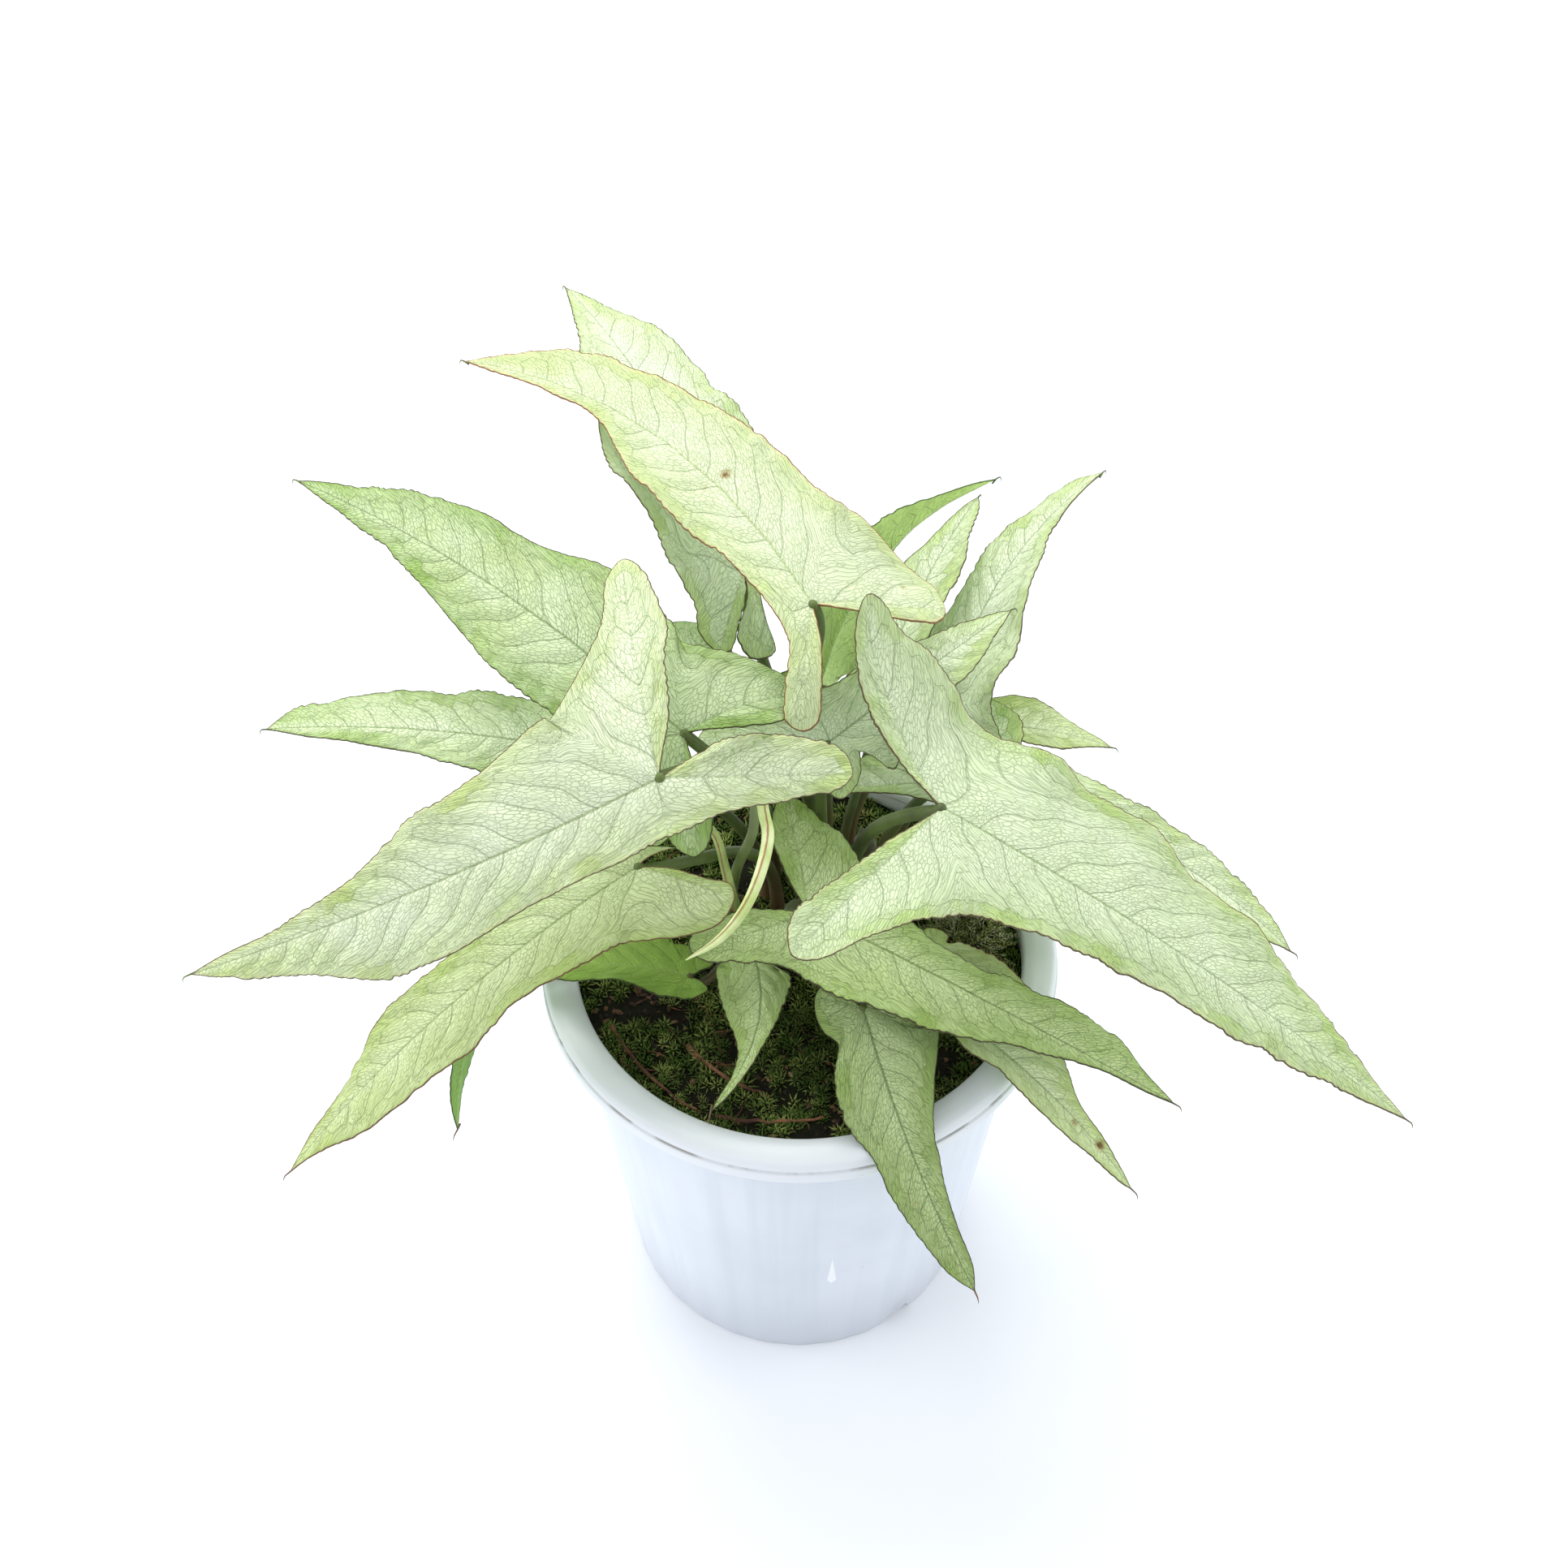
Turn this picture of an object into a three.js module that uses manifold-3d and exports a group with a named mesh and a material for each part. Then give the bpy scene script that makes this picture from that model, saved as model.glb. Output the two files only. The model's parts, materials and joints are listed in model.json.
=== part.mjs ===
// Potted arrowhead plant: a white nursery pot with a rolled lip, its soil, and a clump of arrow-shaped
// leaves on slender stalks. Millimetres, +Z up, origin at the centre of the pot's underside.
import * as THREE from 'three';
import Module from 'manifold-3d';

const wasm = await Module();
wasm.setup();

// ---------------------------------------------------------------- driving dimensions
const GAP = 0.3;                 // clearance between neighbouring pieces
const POT_HEIGHT = 135;
const POT_BASE_R = 49.8;
const POT_BODY_TOP_R = 63;       // body radius just under the lip
const POT_WALL = 2;
const POT_FLOOR = 3;
const LIP_OUTER_R = 70;
const LIP_INNER_R = 60.2;
const LIP_HEIGHT = 8;            // depth of the rolled band
const FLUTES = 30;
const FLUTE_DEPTH = 0.25;
const DRAIN_HOLES = 6;
const DRAIN_HOLE_R = 4;
const DRAIN_RING_R = 30;
const SOIL_TOP = 126;            // mean height of the soil surface
const SOIL_RELIEF = 0.7;
const STALK_FOOT = 114;          // how deep the leaf stalks stand
const STALK_SWELL = 0.5;         // how much thicker a stalk is at its foot
const STALK_STEPS = 8;
const STALK_SIDES = 6;
const SHOOT_STEPS = 9;           // fewest steps along a shoot
const SHOOT_SIDES = 8;
const BLADE_THICKNESS = 1.0;
const RIPPLE = 1.6;              // rise and fall of the leaf margin
const RIPPLE_LENGTH = 34;

// Stations of the leaf profile: fractions of the midrib for the half widths of the long lobe, and
// fractions of a basal lobe's own axis for its outer and inner half widths.
const STATIONS = [0.92, 0.78, 0.62, 0.46, 0.30, 0.15];
const LOBE_STATIONS = [0.35, 0.70, 0.93];
const FINE_LEAF = 75;            // leaves at least this long get twice the outline steps

// One row for each leaf. at: where stalk and blade meet. aim: heading, pitch and roll of the midrib in
// degrees. arch and sweep: rise and sideways bow of the midrib. fold: slope of the left and right half
// in percent. lobes: end of the left and right basal lobe as along, across and rise. halves: half widths
// of the left and right side at STATIONS. lobeOut and lobeIn: half widths of the lobes, left and right.
// root: where the stalk stands in the soil, and stalk: its radius at the top.
const LEAVES = {
  leaf_01: {
    at: [3, 39, 226], aim: [135, -1, -12], length: 136, arch: 7, sweep: -11, fold: [-5, 8],
    lobes: [[-17, 25, -11], [-22, -24, -13]],
    halves: [[2, 3, 5, 13, 14, 11], [5, 12, 14, 16, 18, 20]],
    lobeOut: [[5, 5, 4], [26, 15, 8]], lobeIn: [[4, 5, 4], [3, 4, 3]],
    root: [-4.5, 41], stalk: 1.7, sway: [0.6, 0.1], tone: 'young',
  },
  leaf_02: {
    at: [-15, 69, 208], aim: [117, 6, 10], length: 116, arch: 8, sweep: 0, fold: [8, 8],
    lobes: [[-16, 13, -10], [-22, -0.5, -6]],
    halves: [[3, 9, 16, 20, 23, 20], [4, 11.5, 16.5, 19, 21, 12]],
    lobeOut: [[18, 10, 7], [1.5, 0.3, 0.5]], lobeIn: [[3, 3, 3], [2.5, 8, 6]],
    root: [4, 39], stalk: 1.6, tone: 'silver',
  },
  leaf_03: {
    at: [-29, 8, 212], aim: [141, 2, -25], length: 137, arch: 7, sweep: -4, fold: [-20, 8],
    lobes: [[-16, 23, -9], [-13, -28, -16]],
    halves: [[2, 5, 9, 15, 18, 16], [3, 8, 14, 15, 20, 20]],
    lobeOut: [[11, 9, 4], [21, 12, 5]], lobeIn: [[3, 6, 4], [4, 7, 4]],
    root: [-7, 28], stalk: 1.6, tone: 'mature',
  },
  leaf_04: {
    at: [-37, 20, 185], aim: [167, -7, -15], length: 111, arch: 7, sweep: -1, fold: [-10, 8],
    lobes: [[-3, 20, -2], [-2, -48, -12]],
    halves: [[2, 4, 6, 9, 12, 14], [6, 9, 11, 12, 13, 16]],
    lobeOut: [[10, 9, 4], [16, 13, 7]], lobeIn: [[3, 6, 3], [6, 10, 6]],
    root: [-9, 22], stalk: 1.5, tone: 'mature',
  },
  leaf_05: {
    at: [-34, -15, 222], aim: [-168, -21, -37], length: 128, arch: 9, sweep: 3, fold: [-10, 10],
    lobes: [[-41, 16, -14], [-8, -55, -26]],
    halves: [[4, 9, 17, 17, 14, 14], [2, 4, 8, 16, 20, 25]],
    lobeOut: [[9, 6, 4], [22, 8, 5]], lobeIn: [[9, 9, 6], [7, 9, 5]],
    root: [3, 27], stalk: 1.8, sway: [0.3, 0.6], tone: 'silver',
  },
  leaf_06: {
    at: [-41, -13, 185], aim: [-149, -29, 4], length: 119, arch: 9, sweep: 1, fold: [0, 10],
    lobes: [[-13.6, 19.6, -8], [-8, -8, -14]],
    halves: [[3, 10, 13, 14, 13, 16.5], [2, 5, 11, 12, 13, 14]],
    lobeOut: [[21, 15.5, 7], [6, 5, 3]], lobeIn: [[2, 2.5, 3.2], [2, 3, 2]],
    root: [-6, 16], stalk: 1.6, sway: [0.6, 0.3], tone: 'sage',
  },
  leaf_07: {
    at: [35, -6, 200], aim: [-24, -25, -3], length: 143, arch: 8, sweep: -3, fold: [8, -20],
    lobes: [[-45, 25, 24], [-15, -59, 10]],
    halves: [[3, 10, 18, 23, 28, 30], [3, 7, 11, 12, 15, 21]],
    lobeOut: [[22, 14, 7], [21, 10, 5]], lobeIn: [[4, 6, 4], [4, 7, 5]],
    root: [14, 20], stalk: 1.8, sway: [0.3, 0.3], tone: 'silver',
  },
  leaf_08: {
    at: [39, 45, 176], aim: [56, 18, -20], length: 86, arch: 6, sweep: 5, fold: [10, 10],
    lobes: [[-14, 28, 0], [-14, -24, 0]],
    halves: [[5, 7, 9, 10, 11, 15], [1, 3, 8, 13, 15, 16]],
    lobeOut: [[14, 11, 5], [12, 9, 5]], lobeIn: [[4, 7, 4], [4, 7, 4]],
    root: [25, 30], stalk: 1.4, tone: 'silver',
  },
  leaf_09: {
    at: [22, 50, 187], aim: [64, 10, -10], length: 65, arch: 4, sweep: 0, fold: [12, 12],
    lobes: [[-6, 10, -4], [-10, -20, 0]],
    halves: [[2, 4, 6, 8, 9, 9], [3, 5, 8, 8, 9, 9]],
    lobeOut: [[5, 4, 2], [9, 8, 4]], lobeIn: [[2, 3, 2], [3, 5, 3]],
    root: [11, 27], stalk: 1.3, tone: 'silver',
  },
  leaf_10: {
    at: [5, 64, 168], aim: [44, 25, -100], length: 77, arch: 3, sweep: -12, fold: [12, 12],
    lobes: [[-6, 14, 0], [-8, -12, 0]],
    halves: [[1, 1.2, 1.2, 4, 10, 18], [1.5, 4, 8.5, 13, 14, 14]],
    lobeOut: [[12, 8, 4], [5, 4, 3]], lobeIn: [[3, 4, 3], [2, 3, 2]],
    root: [8, 32], stalk: 1.3, tone: 'green',
  },
  leaf_11: {
    at: [32, 50, 165], aim: [7, -15, 0], length: 58, arch: 5, sweep: 0, fold: [12, 12],
    lobes: [[-6, 12, 0], [-5, -6, 0]],
    halves: [[2, 5, 8, 10, 10, 9], [2, 5, 7, 6, 4, 3]],
    lobeOut: [[6, 5, 3], [3, 3, 2]], lobeIn: [[2, 3, 2], [1, 2, 1]],
    root: [14, 38], stalk: 1.3, tone: 'yellowing',
  },
  leaf_12: {
    at: [44, 27, 171.5], aim: [-19, -21, 12], length: 100, arch: 8, sweep: 4, fold: [12, 12],
    lobes: [[-4, 28, -6], [-32, -19, -2]],
    halves: [[3, 6, 8, 9, 11, 13], [3, 8, 12, 13, 14, 15]],
    lobeOut: [[12, 10, 5], [5, 2, 2]], lobeIn: [[4, 7, 4], [8, 9, 5]],
    root: [20, 24], stalk: 1.5, tone: 'mature',
  },
  leaf_13: {
    at: [2, -12, 165], aim: [-20, -20, -2], length: 108, arch: 8, sweep: -5, fold: [8, -25],
    lobes: [[-17, 31, 2], [-23, -28, 13]],
    halves: [[3, 10, 10, 9, 9, 13], [1, 2, 6, 11, 15, 17]],
    lobeOut: [[15, 9, 5], [12, 8, 5]], lobeIn: [[5, 6, 4], [6, 6, 4]],
    root: [3, 12], stalk: 1.5, tone: 'shaded',
  },
  leaf_14: {
    at: [38, -28, 144], aim: [-37, -26, 0], length: 67, arch: 6, sweep: 0, fold: [12, 12],
    lobes: [[-5, 8, 0], [-4, -6, 0]],
    halves: [[1, 2.5, 4.2, 9, 10, 11], [2.3, 4, 6.3, 6, 5, 7]],
    lobeOut: [[4, 3, 2], [4, 3, 2]], lobeIn: [[1, 2, 1], [1, 2, 1]],
    root: [17, 6], stalk: 1.4, tone: 'yellowing',
  },
  leaf_15: {
    at: [16, -33, 152], aim: [-63, -36, 9], length: 78, arch: 7, sweep: -3, fold: [4, 4],
    lobes: [[-4, 19, -6], [-7, -10, -2]],
    halves: [[2.5, 3.5, 5, 7.5, 12, 18], [3.5, 6.5, 8.7, 10, 13, 12]],
    lobeOut: [[15, 9, 5], [11, 8, 4]], lobeIn: [[3, 5, 3], [2, 4, 3]],
    root: [9, 6], stalk: 1.4, tone: 'shaded',
  },
  leaf_16: {
    at: [-13, -12, 150], aim: [-103, -16, 0], length: 46, arch: 5, sweep: 7.5, fold: [10, -30],
    lobes: [[-5, 14, 0], [-5, -12, 0]],
    halves: [[1, 1.8, 2.6, 4.2, 6, 8.5], [1, 1.4, 3.5, 9.5, 11.5, 11.5]],
    lobeOut: [[8, 6, 3], [7, 5, 3]], lobeIn: [[3, 4, 2], [3, 4, 2]],
    root: [-4, 8], stalk: 1.2, tone: 'shaded',
  },
  leaf_17: {
    at: [-64, -1, 150], aim: [-122, -37, 95], length: 64, arch: 5, sweep: 8, fold: [12, 12],
    lobes: [[-6, 10, 0], [-6, -8, 0]],
    halves: [[2, 4, 7, 8, 9, 9], [2, 4, 7, 8, 9, 9]],
    lobeOut: [[6, 5, 3], [6, 5, 3]], lobeIn: [[2, 3, 2], [2, 3, 2]],
    root: [-12, 15.5], stalk: 1.2, sway: [0.3, 0.1], tone: 'green',
  },
  leaf_18: {
    at: [7, 21, 193], aim: [38, 9, 16], length: 63, arch: 5, sweep: -1, fold: [12, 12],
    lobes: [[-25, 23, -10], [-5, -13, -8]],
    halves: [[2, 4, 6, 9, 11, 11], [2, 5, 8, 9, 11, 14]],
    lobeOut: [[11, 8, 5], [8, 6, 3]], lobeIn: [[4, 6, 4], [3, 4, 2]],
    root: [7, 19], stalk: 1.4, sway: [0.45, 0.1], tone: 'silver',
  },
  leaf_19: {
    at: [35, -12, 146], aim: [-30, -2, 8], length: 30, arch: 4, sweep: 0, fold: [12, 12],
    lobes: [[-5, 8, 0], [-4, -5, 0]],
    halves: [[2, 3, 4, 5, 5.5, 6], [1, 3, 4, 4, 4, 3]],
    lobeOut: [[4, 4, 2], [3, 2, 1]], lobeIn: [[2, 3, 2], [1, 2, 1]],
    root: [24, 12], stalk: 1.1, tone: 'mature',
  },
  leaf_20: {
    at: [-28.8, -18.8, 146], aim: [175, -4, 4], length: 42, arch: 4, sweep: 0, fold: [8, 8],
    lobes: [[-5, 4, 0], [-5, -8, 0]],
    halves: [[2.5, 5, 7, 8, 8, 7.5], [2, 5, 8, 11, 12, 11]],
    lobeOut: [[7, 5, 3], [9, 6, 4]], lobeIn: [[1, 1, 0.6], [1, 2, 1]],
    root: [-14, 8], stalk: 1.2, sway: [0.45, 0.3], tone: 'green',
  },
};

// Rolled young leaves and the scale leaf in the crown: a path, and radii spread evenly over its points.
// A root is where the piece stands in the soil.
const SHOOTS = {
  rolled_leaf_a: {
    root: [-18, 11],
    path: [[-18, 11, 114.3], [-18, 11, 128], [-18, 8, 147], [-16, 1, 168], [-12, -4, 188], [-11, -3, 201],
      [-10, -6, 206], [-9, -13, 206], [-8, -19, 205], [-10, -28, 201], [-14, -36, 197], [-20, -41, 192],
      [-28, -44, 188]],
    radii: [1.8, 1.7, 1.5, 1.4, 1.3, 1.3, 1.5, 2.1, 2.2, 1.9, 1.6, 1.2, 0.7],
    colour: 0xdbe69a,
  },
  rolled_leaf_b: {
    root: [-12, 3],
    path: [[-12, 3, 114.3], [-12, 3, 127.5], [-13, 1, 140], [-17, -3, 156], [-19, -4, 170], [-22, 0, 182],
      [-26, 2, 186], [-30, 6, 189]],
    radii: [1.7, 1.7, 1.5, 1.4, 1.3, 1.1, 0.8, 0.5],
    colour: 0xa8bf5e,
  },
  scale_leaf: {
    root: [19, 34],
    path: [[19, 34, 114.3], [19, 34, 121], [19, 34, 128], [18.3, 32, 139], [17, 28, 150]],
    radii: [2, 2, 2, 3.2, 0.8],
    colour: 0x7d7358,
  },
};

// Moss tuft: a lumpy cushion on a peg that stands in the soil.
const TUFT_AT = [46, 5];
const TUFT_PEG_R = 3;
const TUFT_R = 9;
const TUFT_HEIGHT = 8;

// Twigs on the soil: x, y and lift over it.
const TWIG_R = 0.8;
const TWIGS = {
  twig_a: [[-50, -22, 0.2], [-44, -32, 0], [-36, -42, 0.1], [-27, -48, 0]],
  twig_b: [[-22, -50, 0], [-8, -52, 0.4], [6, -50, 0]],
  twig_c: [[-30, -28, 0], [-20, -38, 0.5], [-8, -44, 0]],
};

const TONES = {
  young: 0xe3efb4,
  silver: 0xcfe0bd,
  mature: 0xb2cc95,
  sage: 0xbbd197,
  shaded: 0x9fba86,
  green: 0x7fb04e,
  yellowing: 0xb9c478,
};
const STALK_COLOUR = 0x4d5a2e;

const part = new THREE.Group();

// ---------------------------------------------------------------- helpers
function material(colour, roughness) {
  return new THREE.MeshStandardMaterial({ color: colour, roughness, metalness: 0 });
}

function addPiece(name, geometry, colour, roughness = 0.6) {
  const mesh = new THREE.Mesh(geometry, material(colour, roughness));
  mesh.name = name;
  part.add(mesh);
}

// A triangle soup that merges equal corners and drops triangles without area.
class Shell {
  constructor() {
    this.points = [];
    this.triangles = [];
    this.lookup = new Map();
  }

  point(v, tag = '') {
    const key = `${tag}${v.toArray().map((n) => n.toFixed(4)).join(',')}`;
    if (!this.lookup.has(key)) {
      this.lookup.set(key, this.points.length);
      this.points.push(v.clone());
    }
    return this.lookup.get(key);
  }

  triangle(a, b, c) {
    if (a !== b && b !== c && c !== a) this.triangles.push([a, b, c]);
  }

  quad(a, b, c, d) {
    this.triangle(a, b, c);
    this.triangle(a, c, d);
  }

  geometry() {
    const geometry = new THREE.BufferGeometry();
    const flat = this.points.flatMap((v) => v.toArray());
    geometry.setAttribute('position', new THREE.Float32BufferAttribute(flat, 3));
    geometry.setIndex(this.triangles.flat());
    return geometry;
  }

  solid() {
    const mesh = new wasm.Mesh({
      numProp: 3,
      vertProperties: new Float32Array(this.points.flatMap((v) => v.toArray())),
      triVerts: new Uint32Array(this.triangles.flat()),
    });
    return new wasm.Manifold(mesh);
  }
}

function fromSolid(solid) {
  const mesh = solid.getMesh();
  const positions = [];
  for (let i = 0; i < mesh.vertProperties.length; i += mesh.numProp) {
    positions.push(...mesh.vertProperties.slice(i, i + 3));
  }
  const geometry = new THREE.BufferGeometry();
  geometry.setAttribute('position', new THREE.Float32BufferAttribute(positions, 3));
  geometry.setIndex(Array.from(mesh.triVerts));
  return geometry;
}

// Surface of revolution of an axis-to-axis profile of [radius, height].
// wave(k, i) moves corner i of ring k outward.
function turned(profile, segments, wave = () => 0) {
  const shell = new Shell();
  const rings = profile.map(([r, z], k) => {
    const ring = [];
    for (let i = 0; i < segments; i += 1) {
      const angle = (2 * Math.PI * i) / segments;
      const radius = r > 0 ? r + wave(k, i) : 0;
      ring.push(shell.point(new THREE.Vector3(radius * Math.cos(angle), radius * Math.sin(angle), z)));
    }
    return ring;
  });
  for (let k = 0; k + 1 < rings.length; k += 1) {
    for (let i = 0; i < segments; i += 1) {
      const j = (i + 1) % segments;
      shell.quad(rings[k][i], rings[k][j], rings[k + 1][j], rings[k + 1][i]);
    }
  }
  return shell;
}

// Closed round tube through a row of points, with a radius at each of them.
function tube(points, radii, sides) {
  const shell = new Shell();
  const last = points.length - 1;
  const direction = points.map((p, k) => {
    const from = points[Math.max(k - 1, 0)];
    const to = points[Math.min(k + 1, last)];
    return to.clone().sub(from).normalize();
  });
  const across = new THREE.Vector3(1, 0, 0);
  const rings = points.map((centre, k) => {
    across.addScaledVector(direction[k], -across.dot(direction[k])).normalize();
    const other = new THREE.Vector3().crossVectors(direction[k], across);
    const ring = [];
    for (let i = 0; i < sides; i += 1) {
      const angle = (2 * Math.PI * i) / sides;
      const corner = centre.clone()
        .addScaledVector(across, radii[k] * Math.cos(angle))
        .addScaledVector(other, radii[k] * Math.sin(angle));
      ring.push(shell.point(corner));
    }
    return ring;
  });
  const start = shell.point(points[0], 'start');
  const end = shell.point(points[last], 'end');
  for (let i = 0; i < sides; i += 1) {
    const j = (i + 1) % sides;
    for (let k = 0; k < last; k += 1) {
      shell.quad(rings[k][i], rings[k][j], rings[k + 1][j], rings[k + 1][i]);
    }
    shell.triangle(start, rings[0][j], rings[0][i]);
    shell.triangle(end, rings[last][i], rings[last][j]);
  }
  return shell;
}

// ---------------------------------------------------------------- leaf blade
const radians = THREE.MathUtils.degToRad;

function leafFrame(leaf) {
  const [heading, pitch, roll] = leaf.aim.map(radians);
  const along = new THREE.Vector3(
    Math.cos(pitch) * Math.cos(heading),
    Math.cos(pitch) * Math.sin(heading),
    Math.sin(pitch),
  );
  const level = new THREE.Vector3(-Math.sin(heading), Math.cos(heading), 0);
  const upright = new THREE.Vector3().crossVectors(along, level);
  const across = level.clone().multiplyScalar(Math.cos(roll)).addScaledVector(upright, Math.sin(roll));
  const up = upright.clone().multiplyScalar(Math.cos(roll)).addScaledVector(level, -Math.sin(roll));
  return { origin: new THREE.Vector3(...leaf.at), along, across, up };
}

function midribOffset(leaf, x) {
  const s = THREE.MathUtils.clamp(x / leaf.length, 0, 1);
  return 4 * leaf.sweep * s * (1 - s);
}

// Height of the blade over its own plane: arched midrib, folded halves, bent lobes and a rippled margin.
function bladeHeight(leaf, x, y) {
  const s = x / leaf.length;
  const offset = y - midribOffset(leaf, x);
  const side = offset >= 0 ? 0 : 1;
  let height = s > 0 ? 4 * leaf.arch * s * (1 - s) : 2 * leaf.arch * s;
  height += Math.abs(offset) * leaf.fold[side] * 0.01;
  const [lobeX, lobeY, rise] = leaf.lobes[side];
  const t = THREE.MathUtils.clamp((x * lobeX + y * lobeY) / (lobeX ** 2 + lobeY ** 2), 0, 1.15);
  height += rise * t * t;
  const reach = Math.min(Math.abs(offset) / (0.16 * leaf.length), 1.3);
  const phase = (2 * Math.PI * x) / RIPPLE_LENGTH + leaf.length + 2 * side;
  return height + RIPPLE * reach * reach * Math.sin(phase);
}

// Centripetal Catmull-Rom point between b and c.
function splinePoint(a, b, c, d, f) {
  const knots = [0];
  [[a, b], [b, c], [c, d]].forEach(([p, q], i) => knots.push(knots[i] + Math.sqrt(p.distanceTo(q))));
  const t = knots[1] + (knots[2] - knots[1]) * f;
  const mix = (p, q, i, j) => p.clone().lerp(q, (t - knots[i]) / (knots[j] - knots[i]));
  const ab = mix(a, b, 0, 1);
  const bc = mix(b, c, 1, 2);
  const cd = mix(c, d, 2, 3);
  return mix(mix(ab, bc, 0, 2), mix(bc, cd, 1, 3), 1, 2);
}

// One half of the flat outline, from the tip round the basal lobe to the stalk: pairs of a margin point
// and the point of the rib that it hangs from.
function halfOutline(leaf, side, steps) {
  const sign = side === 0 ? 1 : -1;
  const flat = (x, y) => new THREE.Vector2(x, y);
  const [lobeX, lobeY] = leaf.lobes[side];
  const reach = Math.hypot(lobeX, lobeY);
  const axis = flat(lobeX / reach, lobeY / reach);
  const outward = flat(Math.abs(axis.y), -axis.x * Math.sign(axis.y));
  const margin = [flat(leaf.length, 0)];
  const rib = [flat(leaf.length, 0)];
  STATIONS.forEach((s, i) => {
    const x = s * leaf.length;
    const middle = midribOffset(leaf, x);
    margin.push(flat(x, middle + sign * leaf.halves[side][i]));
    rib.push(flat(x, middle));
  });
  const shoulder = margin.length - 1;
  const lobePoint = (t, width) => {
    margin.push(axis.clone().multiplyScalar(t * reach).addScaledVector(outward, width));
    rib.push(axis.clone().multiplyScalar(t * reach));
  };
  LOBE_STATIONS.forEach((t, i) => lobePoint(t, leaf.lobeOut[side][i]));
  lobePoint(1, 0);
  [2, 1, 0].forEach((i) => lobePoint(LOBE_STATIONS[i], -leaf.lobeIn[side][i]));
  lobePoint(0, 0);
  const before = margin[0].clone().multiplyScalar(2).sub(margin[1]);
  const after = margin.at(-1).clone().multiplyScalar(2).sub(margin.at(-2));
  const guide = [before, ...margin, after];
  const pairs = [];
  for (let i = 0; i + 1 < margin.length; i += 1) {
    const count = i === shoulder ? 2 * steps : steps;
    for (let k = 0; k < count; k += 1) {
      const f = k / count;
      const edge = splinePoint(guide[i], guide[i + 1], guide[i + 2], guide[i + 3], f);
      let root = rib[i].clone().lerp(rib[i + 1], f);
      if (i === shoulder) {
        const toLobe = rib[i + 1].clone().multiplyScalar(2 * f - 1);
        root = f < 0.5 ? rib[i].clone().multiplyScalar(1 - 2 * f) : toLobe;
      }
      pairs.push({ edge, root });
    }
  }
  pairs.push({ edge: flat(0, 0), root: flat(0, 0) });
  return pairs;
}

function bladeShell(leaf) {
  const shell = new Shell();
  const { origin, along, across, up } = leafFrame(leaf);
  const steps = leaf.length >= FINE_LEAF ? 2 : 1;
  const columns = 2;
  const place = (v, face) => {
    const lift = bladeHeight(leaf, v.x, v.y) + 0.5 * face * BLADE_THICKNESS;
    const point = origin.clone().addScaledVector(along, v.x).addScaledVector(across, v.y);
    return shell.point(point.addScaledVector(up, lift));
  };
  const rims = [];
  [0, 1].forEach((side) => {
    const pairs = halfOutline(leaf, side, steps);
    [1, -1].forEach((face) => {
      const rows = pairs.map(({ edge, root }) => {
        const row = [];
        for (let c = 0; c <= columns; c += 1) row.push(place(root.clone().lerp(edge, c / columns), face));
        return row;
      });
      for (let i = 0; i + 1 < rows.length; i += 1) {
        for (let c = 0; c < columns; c += 1) {
          const corners = [rows[i][c], rows[i + 1][c], rows[i + 1][c + 1], rows[i][c + 1]];
          const flip = (face > 0) === (side === 0);
          const [p, q, r, s] = corners;
          if (flip) shell.quad(p, s, r, q);
          else shell.quad(p, q, r, s);
        }
      }
      rims.push(rows.map((row) => row[columns]));
    });
  });
  const [leftTop, leftUnder, rightTop, rightUnder] = rims;
  for (let i = 0; i + 1 < leftTop.length; i += 1) {
    shell.quad(leftTop[i], leftUnder[i], leftUnder[i + 1], leftTop[i + 1]);
    shell.quad(rightTop[i + 1], rightUnder[i + 1], rightUnder[i], rightTop[i]);
  }
  return shell;
}

// ---------------------------------------------------------------- stalks and young shoots
// Points from the foot in the soil, straight up out of it, and on in one bow to the end.
function stalkPoints(root, end, arrival, sway) {
  const foot = new THREE.Vector3(root[0], root[1], STALK_FOOT + GAP);
  const collar = new THREE.Vector3(root[0], root[1], SOIL_TOP + 1.5);
  const distance = end.distanceTo(collar);
  const low = collar.clone().add(new THREE.Vector3(0, 0, sway[0] * distance));
  const high = end.clone().addScaledVector(arrival, -sway[1] * distance);
  const bow = new THREE.CubicBezierCurve3(collar, low, high, end);
  return [foot, ...bow.getSpacedPoints(STALK_STEPS)];
}

function stalkRadii(top, count) {
  const swollen = (k) => top * (1 + STALK_SWELL * Math.exp((-6 * k) / (count - 1)));
  return Array.from({ length: count }, (_, k) => swollen(k));
}

function leafStalk(leaf) {
  const { origin, along, up } = leafFrame(leaf);
  const toRoot = new THREE.Vector3(leaf.root[0], leaf.root[1], SOIL_TOP).sub(origin);
  const under = up.clone().multiplyScalar(up.dot(toRoot) < 0 ? 1 : -1);
  const arrival = under.clone().multiplyScalar(0.8).addScaledVector(along, 0.6).normalize();
  const drop = 0.5 * BLADE_THICKNESS + GAP + 0.75 * leaf.stalk + 0.1;
  const end = origin.clone().addScaledVector(under, -drop);
  const points = stalkPoints(leaf.root, end, arrival, leaf.sway ?? [0.45, 0.3]);
  return tube(points, stalkRadii(leaf.stalk, points.length), STALK_SIDES);
}

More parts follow.
